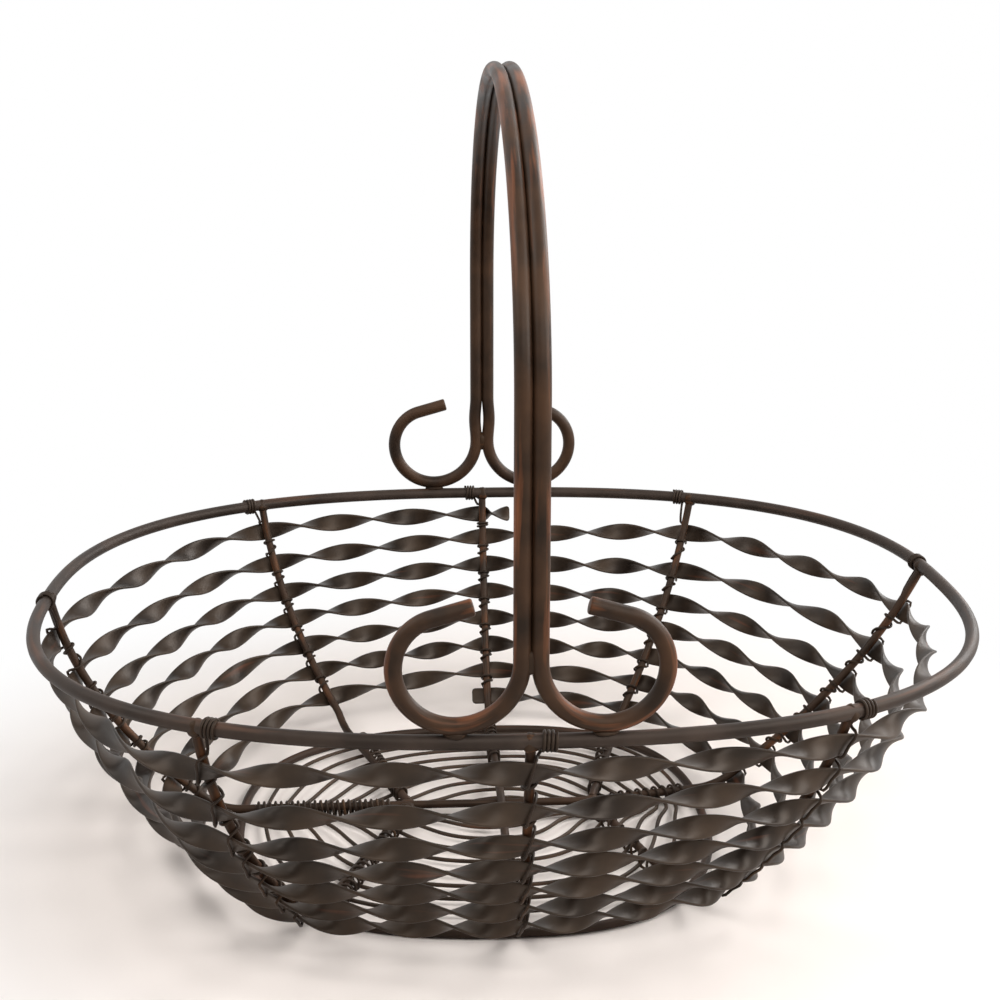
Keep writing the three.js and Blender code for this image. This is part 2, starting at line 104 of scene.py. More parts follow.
def rim_plan(angle):
    """Plan of the middle of the rim wire."""
    return oval(angle, RIM_TO_RIGHT, RIM_TO_LEFT, RIM_TO_FRONT, RIM_TO_BACK)


def foot_plan(angle, out):
    """Plan of the foot ring's middle, moved out by a length to every side."""
    return oval(angle, FOOT_TO_RIGHT + out, FOOT_TO_LEFT + out, FOOT_TO_FRONT + out, FOOT_TO_BACK + out)


print("rim's shoulder, x and y in mm:", np.round(rim_plan(math.pi / 4) / MM, 1))

# %% [markdown]
# ## A mesh from a grid
# Every piece of the basket is long and thin, so its surface is a grid: rings along the piece, and points
# round each ring. It could be extruded ring by ring. With whole arrays, all rings are worked out at once, and
# quads between neighbouring rings close the surface.
# Two values are stored on each point for the finish: wear, how much the patina is rubbed there, and course,
# the place on the piece as if it were pulled straight, so that streaks can follow it round its bends.

# %% Mesh from a grid
SHARP_EDGE = math.radians(50)


def surface_object(name, grids, wear, course, looped=False):
    """Mesh of shells given as grids[shell, ring, side]: quads join the rings, open shells get end faces."""
    shells, rings, sides = grids.shape[:3]
    shell = np.arange(shells)[:, None, None] * rings * sides
    ring = np.arange(rings if looped else rings - 1)[None, :, None]
    side = np.arange(sides)[None, None, :]
    near, far = shell + ring * sides, shell + (ring + 1) % rings * sides
    after = (side + 1) % sides
    quads = np.stack([near + side, near + after, far + after, far + side], axis=-1)
    faces = quads.reshape(-1, 4).tolist()
    if not looped:
        first = shell[:, 0] + side[0]
        faces += first[:, ::-1].tolist() + (first + (rings - 1) * sides).tolist()
    mesh = bpy.data.meshes.new(name)
    mesh.from_pydata(grids.reshape(-1, 3).tolist(), [], faces)
    mesh.polygons.foreach_set("use_smooth", np.ones(len(mesh.polygons), bool))
    mesh.set_sharp_from_angle(angle=SHARP_EDGE)
    rubbed = mesh.attributes.new("wear", "FLOAT", "POINT")
    rubbed.data.foreach_set("value", np.broadcast_to(wear, grids.shape[:3]).astype(np.float32).ravel())
    straight = mesh.attributes.new("course", "FLOAT_VECTOR", "POINT")
    straight.data.foreach_set("vector", np.broadcast_to(course, grids.shape).astype(np.float32).ravel())
    piece = bpy.data.objects.new(name, mesh)
    bpy.context.scene.collection.objects.link(piece)
    return piece


print(f"faces are shaded smooth over edges up to {math.degrees(SHARP_EDGE):.0f} degrees")

# %% [markdown]
# ## Wires as swept circles
# A wire is a circle carried along a path, with a ring of points square to the direction of travel at each
# step. A curve object with a round bevel would do this too, but it stores nothing on its points, and the
# finish needs wear on them. To keep the rings from spinning, each one starts from a hint, a direction that is
# known for that piece, such as away from the rib that a thin wire is wound on.

# %% Along a path


def unit(vectors):
    """The vectors at length one."""
    return vectors / np.linalg.norm(vectors, axis=-1, keepdims=True)


def travel(path, looped=False):
    """Direction of travel at each point of a path, from the point before to the point after."""
    steps = np.roll(path, -1, axis=0) - np.roll(path, 1, axis=0) if looped else np.gradient(path, axis=0)
    return unit(steps)


def path_length(path):
    """Length along a path at each of its points."""
    return np.concatenate([[0.0], np.cumsum(np.linalg.norm(np.diff(path, axis=0), axis=1))])


rim_round = path_length(rim_plan(np.radians(np.arange(361))))[-1]
print(f"one round of the rim takes {rim_round:.2f} m of wire")

# %% Wire along a path


def wire_rings(path, radius, sides, hint, looped=False):
    """Circles of the radius round a path, square to its travel, with their first point towards the hint."""
    along = travel(path, looped)
    hint = np.broadcast_to(hint, path.shape)
    first = unit(hint - (hint * along).sum(-1, keepdims=True) * along)
    second = np.cross(along, first)
    turn = (TAU * np.arange(sides) / sides)[None, :, None]
    spoke = np.cos(turn) * first[:, None] + np.sin(turn) * second[:, None]
    reach = np.broadcast_to(radius, len(path))[:, None, None]
    return path[:, None] + reach * spoke


def wire_course(path, radius, sides):
    """Place on a straightened wire: length along it, and the ring point across it."""
    turn = TAU * np.arange(sides) / sides
    circle = np.stack([np.cos(turn), np.sin(turn)], axis=-1)
    across = np.broadcast_to(radius, len(path))[:, None, None] * circle
    along = np.broadcast_to(path_length(path)[:, None, None], (len(path), sides, 1))
    return np.concatenate([along, across], axis=-1)


def wire_object(name, path, radius, sides, hint, wear, looped=False):
    """Round wire along a path. Wear is one for each point of the path, or one for each ring point."""
    rings = wire_rings(path, radius, sides, hint, looped)
    wear = wear[:, None] if wear.ndim == 1 else wear
    return surface_object(name, rings[None], wear, wire_course(path, radius, sides)[None], looped)


print(f"swept round the rim, its wire has {rim_round * math.pi * RIM_WIRE:.4f} square metres of surface")

# %% [markdown]
# ## Patinated iron
# The real finish is iron with a dark brown lacquered patina. It is not a mirror: it has a satin sheen, clouds
# of lighter and darker brown a centimetre or two across, a fine grain, and coppery streaks where the coat is
# rubbed. Lacquer is what the eye meets, so the shader isn't metallic and keeps the default IOR.
# The finish could be painted on a picture for each piece. Noise in the material needs no picture and no
# unwrapping, and one recipe serves all the irons, each with its own colours and gloss.
# The pattern reads Object coordinates, which are metres here, so a scale is one over a size in metres.

# %% Colours and nodes


def linear(hex_colour):
    """sRGB hex to linear values with alpha, as the sockets want them."""
    parts = [int(hex_colour[i : i + 2], 16) / 255 for i in (1, 3, 5)]
    return [c / 12.92 if c <= 0.04045 else ((c + 0.055) / 1.055) ** 2.4 for c in parts] + [1.0]


def add(tree, kind, inputs, **settings):
    """Add a node with its settings. Each input is a value, or another node's output to link."""
    node = tree.nodes.new(kind)
    for name, value in settings.items():
        setattr(node, name, value)
    for socket, value in inputs.items():
        if isinstance(value, bpy.types.NodeSocket):
            tree.links.new(value, node.inputs[socket])
        else:
            node.inputs[socket].default_value = value
    return node


print("mid grey in linear light:", round(linear("#808080")[0], 3))

# %% Rubbed streaks
# Size of a streak on the real basket, and the sums of noise and wear over which the coat is rubbed through
STREAK_LENGTH = 38 * MM
STREAK_WIDTH = 2.4 * MM
RUB_FROM, RUB_TO, MOST_RUB = 0.86, 1.14, 0.85


def rubbed_share(tree):
    """Share of the coat that is rubbed off: noise drawn out along the course, plus wear, cut to a range."""
    course = add(tree, "ShaderNodeAttribute", {}, attribute_name="course").outputs["Vector"]
    drawn = add(
        tree, "ShaderNodeMapping",
        {"Vector": course, "Scale": (1 / STREAK_LENGTH, 1 / STREAK_WIDTH, 1 / STREAK_WIDTH)},
    )
    streak = add(
        tree, "ShaderNodeTexNoise",
        {"Vector": drawn.outputs["Vector"], "Scale": 1.0, "Detail": 4.0},
    )
    worn = add(tree, "ShaderNodeAttribute", {}, attribute_name="wear").outputs["Fac"]
    thin = add(tree, "ShaderNodeMath", {0: streak.outputs["Fac"], 1: worn}, operation="ADD")
    rub = add(
        tree, "ShaderNodeMapRange",
        {"Value": thin.outputs["Value"], "From Min": RUB_FROM, "From Max": RUB_TO, "To Max": MOST_RUB},
    )
    return rub.outputs["Result"]


print(f"streak noise scales: {1 / STREAK_LENGTH:.0f} along and {1 / STREAK_WIDTH:.0f} across per metre")

# %% Patina recipe
# Size of a cloud on the real basket. The real grain is finer, and is drawn as coarse as it needs to show
CLOUD_SIZE = 20 * MM
GRAIN_SIZE = 1.4 * MM
GRAIN_DEPTH = 0.12 * MM
GRAIN_STRENGTH = 0.3
# Noise values over which the coat goes from dark to brown, and from glossy to matt
COAT_FROM, COAT_TO = 0.35, 0.68
GLOSS_FROM, GLOSS_TO = 0.3, 0.7
GLOSSIER, MATTER = 0.06, 0.08
# The brown lacquer warms its own reflections a little
LACQUER_TINT = "#f4e4d6"
# Sockets of a Mix node that is set to colours
FACTOR, FIRST, SECOND, MIXED = 0, 6, 7, 2


def patinated_iron(name, dark, brown, rubbed, roughness, gleam):
    """Lacquered iron: dark and lighter brown in clouds, rubbed where wear and streaks meet, grain as bump."""
    material = bpy.data.materials.new(name)
    material.use_nodes = True
    tree = material.node_tree
    shader = tree.nodes["Principled BSDF"]
    spot = add(tree, "ShaderNodeTexCoord", {}).outputs["Object"]
    cloud = add(tree, "ShaderNodeTexNoise", {"Vector": spot, "Scale": 1 / CLOUD_SIZE, "Detail": 3.0})
    cloudy = add(
        tree, "ShaderNodeMapRange",
        {"Value": cloud.outputs["Fac"], "From Min": COAT_FROM, "From Max": COAT_TO},
    )
    coat = add(
        tree, "ShaderNodeMix",
        {FACTOR: cloudy.outputs["Result"], FIRST: linear(dark), SECOND: linear(brown)},
        data_type="RGBA",
    )
    colour = add(
        tree, "ShaderNodeMix",
        {FACTOR: rubbed_share(tree), FIRST: coat.outputs[MIXED], SECOND: linear(rubbed)},
        data_type="RGBA",
    )
    gloss = add(
        tree, "ShaderNodeMapRange",
        {"Value": cloud.outputs["Fac"], "From Min": GLOSS_FROM, "From Max": GLOSS_TO,
         "To Min": roughness - GLOSSIER, "To Max": roughness + MATTER},
    )
    grain = add(tree, "ShaderNodeTexNoise", {"Vector": spot, "Scale": 1 / GRAIN_SIZE, "Detail": 2.0})
    bump = add(
        tree, "ShaderNodeBump",
        {"Height": grain.outputs["Fac"], "Strength": GRAIN_STRENGTH, "Distance": GRAIN_DEPTH},
    )
    tree.links.new(colour.outputs[MIXED], shader.inputs["Base Color"])
    tree.links.new(gloss.outputs["Result"], shader.inputs["Roughness"])
    tree.links.new(bump.outputs["Normal"], shader.inputs["Normal"])
    shader.inputs["Specular IOR Level"].default_value = gleam
    shader.inputs["Specular Tint"].default_value = linear(LACQUER_TINT)
    return material


print(f"noise scales: clouds {1 / CLOUD_SIZE:.0f}, grain {1 / GRAIN_SIZE:.0f} per metre")

# %% [markdown]
# ## Patchy wear and places in the frame
# Wear on a used basket comes in patches. Random numbers need a seed to come out the same in each run, while a
# few sines of different wavelengths are uneven enough and always the same.
# A finished piece gets its material, rides on the basket's one body and stands for the CAD nodes it replaces.
# That could be written out for every piece, but in one function no piece can miss a step.

# %% Wear and place
WAVE_SHIFT = 1.7


def wavy(values, lengths):
    """Repeatable unevenness from 0 to 1 along a measure: the mean of sines of several wavelengths in mm."""
    waves = [np.sin(TAU * values / (length * MM) + WAVE_SHIFT * i) for i, length in enumerate(lengths)]
    return 0.5 + 0.5 * np.mean(waves, axis=0)


def place(piece, material, slot, *nodes):
    """Give a piece its finish, let it ride on the basket and stand for its CAD nodes."""
    piece.data.materials.append(material)
    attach(piece, "root")
    if nodes:
        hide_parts(*nodes)
    return piece


RING_PATCHES = (310, 131, 57)
some_places = np.linspace(0, rim_round, 5)
print("patches at five places on the rim:", np.round(wavy(some_places, RING_PATCHES), 2))

# %% [markdown]
# ## Rim and foot ring
# Both are single rounds of wire, bent to the oval and welded shut. A torus would be round and would have to
# be pushed into shape, while a circle swept along the oval has it from the start.
# The rings are made lighter along the wire's upward side: partly rub from the hands that hold the rim, partly
# a painted highlight on the top.

# %% Rim and foot ring
RING_STEPS = 720
RING_SIDES = 20
# Lightening of each ring's upward side: hand rub and a painted highlight on the top
RING_TOP_RUB_AND_HIGHLIGHT = 0.2
RING_PATCH_RUB = 0.3
# Where the ribs stand, in degrees round the basket from its right
RIB_DEGREES = {
    "right": 7, "back_right": 54.5, "back": 90, "back_left": 127.5,
    "left": 180, "front_left": 232.5, "front": 270, "front_right": 307.5,
}
RIB_ANGLE = {rib: math.radians(degrees) for rib, degrees in RIB_DEGREES.items()}
SEAM_ANGLE = RIB_ANGLE["right"]
# Rim: drawn iron wire, lacquered and much handled, so grey-brown with an even satin sheen
RIM_IRON = patinated_iron("satin_patinated_rim_iron", "#28211d", "#3d332d", "#563d30", 0.48, 0.2)
# Foot: the same wire out of reach of hands, so darker, browner and duller
FOOT_IRON = patinated_iron("satin_patinated_foot_iron", "#241b15", "#362922", "#51372a", 0.5, 0.2)


def level(plan, height):
    """Plan points lifted to a height."""
    heights = np.broadcast_to(height, plan.shape[:-1])
    return np.concatenate([plan, heights[..., None]], axis=-1)


def ring_piece(name, node, plan, height, thickness, material, slot):
    """Level ring of round wire, lighter on its top from rub and a painted highlight. Its seam is under the
    right rib's weld.
    """
    path = level(plan, height)
    top = np.cos(TAU * np.arange(RING_SIDES) / RING_SIDES)
    patches = wavy(path_length(path), RING_PATCHES)[:, None]
    wear = RING_TOP_RUB_AND_HIGHLIGHT * np.maximum(top, 0) + RING_PATCH_RUB * patches
    piece = wire_object(name, path, thickness / 2, RING_SIDES, UP, wear, looped=True)
    return place(piece, material, slot, node)


around = SEAM_ANGLE + TAU * np.arange(RING_STEPS) / RING_STEPS
foot_oval = foot_plan(around, 0.0)
ring_piece("rim_wire", "rim_ring", rim_plan(around), RIM_HEIGHT, RIM_WIRE, RIM_IRON, "rim_iron")
ring_piece("foot_wire", "foot_ring", foot_oval, FOOT_WIRE / 2, FOOT_WIRE, FOOT_IRON, "foot_iron")
print("rings swept, with points on each:", RING_STEPS * RING_SIDES)

# %% [markdown]
# ## The wall
# The ribs lean inwards from the rim and curve more and more towards the foot. The wall is the surface that
# the middles of the ribs lie on: at each angle it goes from the rim's plan to the foot's plan, partly in a
# straight lean and partly by a power of the depth. The wires could be drawn one by one, but when ribs, strip
# and tying wires all take their places from one surface, they fit each other without being moved by hand.

# %% Wall
CLEARANCE = 0.3 * MM
RIB_WIRE = 3.8 * MM
RIB_BEND = 9 * MM
SPOKE_HEIGHT = FOOT_WIRE + CLEARANCE + RIB_WIRE / 2
WALL_DEPTH = RIM_HEIGHT - SPOKE_HEIGHT
WALL_LEAN = 0.42
WALL_LEAN_TO_RIGHT = 0.12
WALL_CURVE = 2.2
# Small steps to find directions by, in radians and in metres
SMALL_TURN = 0.01
SMALL_DROP = 0.01 * MM


def wall(angle, depth):
    """Wall point at an angle and a depth under the rim: rim plan mixed to foot plan by lean and power."""
    angle, depth = np.broadcast_arrays(np.asarray(angle, float), np.asarray(depth, float))
    sunk = np.maximum(depth, 0) / WALL_DEPTH
    lean = WALL_LEAN + WALL_LEAN_TO_RIGHT * np.cos(angle)
    share = (lean * sunk + (1 - lean) * sunk**WALL_CURVE)[..., None]
    plan = (1 - share) * rim_plan(angle) + share * foot_plan(angle, RIB_BEND)
    return level(plan, RIM_HEIGHT - depth)


def wall_axes(angle, depth):
    """Directions at a wall point: along it (clockwise from above), down it, and out of it."""
    along = unit(wall(angle - SMALL_TURN, depth) - wall(angle + SMALL_TURN, depth))
    below = unit(wall(angle, depth + SMALL_DROP) - wall(angle, depth))
    out = unit(np.cross(along, below))
    return along, np.cross(out, along), out


print(f"wall {WALL_DEPTH / MM:.1f} mm deep, with {len(RIB_ANGLE)} ribs on it")

# %% [markdown]
# ## Paths of the ribs
# A rib starts against the rim, runs down the wall, bends under at the foot and goes on as a spoke over the
# floor. Two of the rib wires run right through to the other side of the rim, one hopping over the other, and
# the four diagonal ones stop beside the long rib. A curve through a few points would miss the wall that the
# strip has to lie on, so the path is put together from three stretches: the wall's formula, a quadratic bend
# and a straight spoke.

# %% Rib paths
RIB_TOP = 0.8 * MM
HUB_REACH = 43 * MM
BESIDE_LONG_RIB = RIB_WIRE + CLEARANCE
WALL_STEPS = 60
BEND_STEPS = 14
SPOKE_STEPS = 30
HUB_PLAN = {
    "right": (HUB_REACH, 0), "left": (-HUB_REACH, 0), "back": (0, HUB_REACH), "front": (0, -HUB_REACH),
    "back_right": (HUB_REACH, BESIDE_LONG_RIB), "back_left": (-HUB_REACH, BESIDE_LONG_RIB),
    "front_right": (HUB_REACH, -BESIDE_LONG_RIB), "front_left": (-HUB_REACH, -BESIDE_LONG_RIB),
}
HUB = {rib: np.array([*plan, SPOKE_HEIGHT]) for rib, plan in HUB_PLAN.items()}


def rib_run(rib):
    """Rib middle from the rim down the wall and round the bend, and then along the spoke to its hub."""
    angle, hub = RIB_ANGLE[rib], HUB[rib]
    slope = wall_axes(angle, WALL_DEPTH)[1]
    bend_depth = WALL_DEPTH - RIB_BEND * abs(slope[2])
    down_wall = wall(angle, np.linspace(RIB_TOP, bend_depth, WALL_STEPS))
    start, direction = down_wall[-1], wall_axes(angle, bend_depth)[1]
    corner = start + direction * (start[2] - SPOKE_HEIGHT) / -direction[2]
    inward = unit(hub - corner)
    end = corner + inward * np.linalg.norm(corner - start)
    t = np.linspace(0, 1, BEND_STEPS)[1:, None]
    bend = (1 - t) ** 2 * start + 2 * t * (1 - t) * corner + t**2 * end
    spoke = end + (hub - end) * np.linspace(0, 1, SPOKE_STEPS)[1:, None]
    return np.concatenate([down_wall, bend, spoke])


def through_run(near, far, lift):
    """Rib from rim to rim by way of its two hubs, lifted over the crossing by a sine squared."""
    t = np.linspace(0, 1, SPOKE_STEPS + 1)[1:-1, None]
    middle = HUB[near] + (HUB[far] - HUB[near]) * t + lift * np.sin(math.pi * t) ** 2 * UP
    return np.concatenate([rib_run(near), middle, rib_run(far)[::-1]])


long_run = through_run("right", "left", 0.0)
cross_run = through_run("back", "front", BESIDE_LONG_RIB)
print(f"long rib {path_length(long_run)[-1]:.2f} m, cross rib {path_length(cross_run)[-1]:.2f} m of wire")

# %% [markdown]
# ## Rib wires with sawn ends
# The wires end in saw cuts with the edge broken by a file. A Bevel modifier could break it, but a path that
# goes on for a quarter circle while the radius shrinks does it in the same sweep.
# The ribs are scraped where the strip and its ties move on them, and less on the floor, so the wear grows
# with the height.

# %% Sawn ends
CORNER_STEPS = np.radians([30.0, 60.0, 90.0])


def cut_ends(path, radius, corner):
    """The path lengthened by a quarter circle of the corner radius at both ends, and its radii."""
    along = travel(path)
    head = path[0] - along[0] * (corner * np.sin(CORNER_STEPS[::-1]))[:, None]
    tail = path[-1] + along[-1] * (corner * np.sin(CORNER_STEPS))[:, None]
    shrunk = radius - corner * (1 - np.cos(CORNER_STEPS))
    radii = np.concatenate([shrunk[::-1], np.full(len(path), radius), shrunk])
    return np.concatenate([head, path, tail]), radii


print("rings added at each sawn end:", len(CORNER_STEPS))

# %% Ribs
RIB_SIDES = 14
RIB_END_CORNER = 0.5 * MM
RIB_PATCHES = (83, 37, 19)
RIB_RUB, RIB_PATCH_RUB = 0.1, 0.5
FULL_RUB_HEIGHT = 25 * MM
FLOOR_RUB_SHARE = 0.3
DIAGONAL_RIBS = ("back_right", "back_left", "front_left", "front_right")
# Ribs: drawn wire that the tying wires have scraped, so coppery brown shows in patches
RIB_IRON = patinated_iron("coppery_patinated_rib_iron", "#20160f", "#3b2a1f", "#5c3a24", 0.48, 0.2)


def rib_piece(name, path, level_side):
    """Round rib wire, rubbed in patches along its length, less where it lies on the floor."""
    path, radii = cut_ends(path, RIB_WIRE / 2, RIB_END_CORNER)
    above_floor = np.clip(path[:, 2] / FULL_RUB_HEIGHT, FLOOR_RUB_SHARE, 1)
    wear = RIB_RUB + RIB_PATCH_RUB * above_floor * wavy(path_length(path), RIB_PATCHES)
    piece = wire_object(name + "_wire", path, radii, RIB_SIDES, level_side, wear)
    return place(piece, RIB_IRON, "rib_iron", name)


rib_piece("rib_long", long_run, np.array([0.0, 1.0, 0.0]))
rib_piece("rib_cross", cross_run, np.array([1.0, 0.0, 0.0]))
for rib in DIAGONAL_RIBS:
    sideways = np.array([-math.sin(RIB_ANGLE[rib]), math.cos(RIB_ANGLE[rib]), 0.0])
    rib_piece("rib_" + rib, rib_run(rib), sideways)
print("rib wires swept:", 2 + len(DIAGONAL_RIBS))

# %% [markdown]
# ## Floor coil
# The floor is one wire wound outwards in nine turns from the long rib to the foot ring, lying under the
# spokes. A Screw modifier winds round spirals only. Here the turn's shape changes evenly from a narrow oval
# in the middle to the foot's own oval outside, which takes one line when both ovals are formulas.

# %% Floor coil
COIL_WIRE = 1.8 * MM
COIL_TURNS = 9
COIL_INNER_HALF_LENGTH = 47 * MM
COIL_INNER_HALF_WIDTH = 5 * MM
COIL_RING_GAP = 4 * MM
COIL_STEPS_PER_TURN = 140
COIL_SIDES = 10
COIL_END_CORNER = 0.3 * MM
COIL_PATCHES = (210, 93, 41)
COIL_RUB, COIL_PATCH_RUB = 0.1, 0.3
COIL_HEIGHT = SPOKE_HEIGHT - RIB_WIRE / 2 - CLEARANCE - COIL_WIRE / 2
# Coil: thin drawn wire with a lighter coat, so it looks grey-brown against the ribs
COIL_IRON = patinated_iron("satin_patinated_coil_wire", "#2a211a", "#43362c", "#5c4030", 0.48, 0.2)


def coil_run():
    """Spiral clockwise from above, going evenly from the inner oval to the outer one."""
    share = np.linspace(0, 1, COIL_TURNS * COIL_STEPS_PER_TURN + 1)
    angle = -TAU * COIL_TURNS * share
    length, width = COIL_INNER_HALF_LENGTH, COIL_INNER_HALF_WIDTH
    inner = oval(angle, length, length, width, width)
    outer = foot_plan(angle, -(FOOT_WIRE / 2 + COIL_RING_GAP + COIL_WIRE / 2))
    return level(inner + (outer - inner) * share[:, None], COIL_HEIGHT)


coil_path, coil_radii = cut_ends(coil_run(), COIL_WIRE / 2, COIL_END_CORNER)
coil_wear = COIL_RUB + COIL_PATCH_RUB * wavy(path_length(coil_path), COIL_PATCHES)
coil = wire_object("floor_coil_wire", coil_path, coil_radii, COIL_SIDES, UP, coil_wear)
place(coil, COIL_IRON, "coil_iron", "floor_coil")
print(f"floor coil: {path_length(coil_path)[-1]:.2f} m of wire")

# %% [markdown]
# ## The spiral of the strip
# The strip starts beside the back rib near the foot and climbs clockwise for seven turns. On each rib it was
# tied at its own height, so a row isn't an even slope as on a helix: it is lifted at the front and droops at
# the right, and the last turns are drawn up under the rim. Each row could be drawn for itself. Counted in
# rows, one short list of ties shapes them all. A row is an equal step measured down the wall at the back.

# %% Strip heights
STRIP_TURNS = 7
STRIP_FOOT_HEIGHT = 15 * MM
STRIP_ROW_PITCH = 14.8 * MM
STRIP_TOP_DEPTH = 11 * MM
WALL_SAMPLES = 101
# Rows climbed at each rib within a turn, on the lower turns and on the last one
LOWER_CLIMB = {
    "back": 0, "back_right": -0.11, "right": -0.26, "front_right": 0.63,
    "front": 0.42, "front_left": -0.13, "left": -0.3, "back_left": 0.4,
}
LAST_CLIMB = {
    "back": 0, "back_right": 0.39, "right": 0.21, "front_right": 0.95,
    "front": 0.96, "front_left": 0.45, "left": 0.3, "back_left": 0.65,
}
# How far each turn goes over from the lower climb to the last one
DRAWN_UP = [0] * (STRIP_TURNS - 2) + [0.32, 1]
tied_turn = np.array([(RIB_ANGLE["back"] - RIB_ANGLE[rib]) / TAU % 1 for rib in LOWER_CLIMB] + [1.0])
lower_climb = np.array(list(LOWER_CLIMB.values()) + [1.0])
last_climb = np.array(list(LAST_CLIMB.values()) + [1.0])
wall_depths = np.linspace(0, WALL_DEPTH, WALL_SAMPLES)
wall_runs = path_length(wall(RIB_ANGLE["back"], wall_depths))


def strip_depth(turn):
    """Depth under the rim after some turns: whole rows plus the tied share, never above the top row."""
    counted = np.clip(turn, 0, STRIP_TURNS)
    whole = np.minimum(np.floor(counted), STRIP_TURNS - 1)
    lower = np.interp(counted - whole, tied_turn, lower_climb)
    last = np.interp(counted - whole, tied_turn, last_climb)
    rows = whole + lower + (last - lower) * np.take(DRAWN_UP, whole.astype(int))
    low_run = np.interp(RIM_HEIGHT - STRIP_FOOT_HEIGHT, wall_depths, wall_runs)
    depth = np.interp(np.maximum(low_run - rows * STRIP_ROW_PITCH, 0), wall_runs, wall_depths)
    return np.maximum(depth, STRIP_TOP_DEPTH)


row_depths = strip_depth(np.arange(STRIP_TURNS + 1.0))
print("rows at the back, mm under the rim:", np.round(row_depths / MM, 1))

# %% Strip path
STRIP_THICKNESS = 1.3 * MM
STRIP_LOW_TAIL = 8 * MM
STRIP_HIGH_TAIL = 15 * MM
STRIP_PATH_POINTS = 2521
strip_rest = RIB_WIRE / 2 + CLEARANCE + STRIP_THICKNESS


def strip_place(turn, outwards):
    """Point of the spiral at a turn, moved out of the wall by a length."""
    angle, depth = RIB_ANGLE["back"] - TAU * turn, strip_depth(turn)
    return wall(angle, depth) + wall_axes(angle, depth)[2] * outwards


def tail_turns(tail, turn):
    """A tail's length as a share of a turn at the back."""
    return tail / wall(RIB_ANGLE["back"], strip_depth(turn))[1] / TAU


first_turn = -tail_turns(STRIP_LOW_TAIL, 0.0)
last_turn = STRIP_TURNS + tail_turns(STRIP_HIGH_TAIL, float(STRIP_TURNS))
turns = np.linspace(first_turn, last_turn, STRIP_PATH_POINTS)
runs = path_length(strip_place(turns, strip_rest))
print(f"strip: {runs[-1]:.2f} m long")

# %% [markdown]
# ## Twist and seat of the strip
# Between two ribs the strip makes a whole number of half twists, so it lies flat on every rib that it
# crosses. The half twists beside the left and right ribs are longer, as on the real basket. The low end stays
# flat, and the high end makes one quick half twist that shows as a small fishtail.
# The strip rests on the outside of the ribs, and between them it is pulled a little straighter than the wall.
# A Simple Deform modifier twists evenly from end to end, so the twist is found from the list of crossings.

# %% Strip twist
STRIP_HALF_TWIST = 35.5 * MM
END_HALF_TWIST = 44 * MM
TAIL_WAIST = 5 * MM
WAIST_HALF_TWISTS = 0.5
TAIL_HALF_TWISTS = 0.95
crossing_turn = np.sort((tied_turn[:-1, None] + np.arange(STRIP_TURNS + 1)).ravel())
crossing_turn = crossing_turn[crossing_turn < last_turn]
crossing_run = np.interp(crossing_turn, turns, runs)
at_end = np.resize([rib in ("left", "right") for rib in LOWER_CLIMB], len(crossing_turn))
bay_half_twist = np.where(at_end[1:] | at_end[:-1], END_HALF_TWIST, STRIP_HALF_TWIST)
bay_twists = np.maximum(1, np.round(np.diff(crossing_run) / bay_half_twist))
half_twists = np.concatenate([[0.0], np.cumsum(bay_twists)])
last_twists = half_twists[-1] + np.array([WAIST_HALF_TWISTS, TAIL_HALF_TWISTS])
stops = np.concatenate([[0.0], crossing_run, [crossing_run[-1] + TAIL_WAIST, runs[-1]]])
stop_twist = np.concatenate([[0.0], half_twists, last_twists]) * math.pi
print("ribs crossed:", len(crossing_turn), "half twists:", round(float(bay_twists.sum())))

# %% Strip seat
SEAT_ROOM = 1.1 * MM
STRIP_TAUTNESS = 0.4
strip_seat = RIB_WIRE / 2 + CLEARANCE + SEAT_ROOM
bay_middle = strip_place((crossing_turn[1:] + crossing_turn[:-1]) / 2, 0.0)
crossing_place = strip_place(crossing_turn, 0.0)
bay_pull = (crossing_place[1:] + crossing_place[:-1]) / 2 - bay_middle


def pulled_in(run):
    """Shift of the strip from the wall's curve to the chord between two ribs, rising as a sine squared."""
    bay = np.clip(np.searchsorted(crossing_run, run) - 1, 0, len(bay_pull) - 1)
    share = (run - crossing_run[bay]) / (crossing_run[bay + 1] - crossing_run[bay])
    rise = np.sin(math.pi * np.clip(share, 0, 1)) ** 2
    return STRIP_TAUTNESS * rise[:, None] * bay_pull[bay]


most_pull = np.linalg.norm(STRIP_TAUTNESS * bay_pull, axis=1).max()
print(f"strip seated {strip_seat / MM:.1f} mm out and pulled in by {most_pull / MM:.1f} mm at most")

# %% [markdown]
# ## The strip's surface
# The section is a flat bar with rounded edges, nine millimetres by just over one. A bevelled curve could
# carry it too, but its tilt would have to be set point by point. Here the section is carried along the spiral
# and turned by the twist, which gives the row of lens shapes that the wall is known by. Both ends have
# rounded corners. Wear is put on the middle of the faces, in a few broad places along the length.

# %% Section and stations of the strip
STRIP_WIDTH = 9 * MM
STRIP_SECTIONS = 5200
EDGE_POINTS = 5
FACE_POINTS = np.array([0.5, 0.0, -0.5])
END_CORNER = 2 * MM
END_STEPS = 9


def bar_section(width, thickness):
    """Outline of a flat bar with half-round edges: half circles joined by faces with inner points."""
    corner = thickness / 2
    turn = np.linspace(-math.pi / 2, math.pi / 2, EDGE_POINTS)
    edge = np.stack([width / 2 - corner + corner * np.cos(turn), corner * np.sin(turn)], axis=-1)
    inner = (width / 2 - corner) * FACE_POINTS
    face = np.stack([inner, np.full(len(inner), corner)], axis=-1)
    half = np.concatenate([edge, face])
    return np.concatenate([half, -half])


section = bar_section(STRIP_WIDTH, STRIP_THICKNESS)
strip_length = runs[-1]
end_steps = np.linspace(0, END_CORNER, END_STEPS)
strip_run = np.concatenate([
    end_steps[:-1],
    np.linspace(END_CORNER, strip_length - END_CORNER, STRIP_SECTIONS),
    strip_length - end_steps[-2::-1],
])
print("points round the section:", len(section), "stations:", len(strip_run))

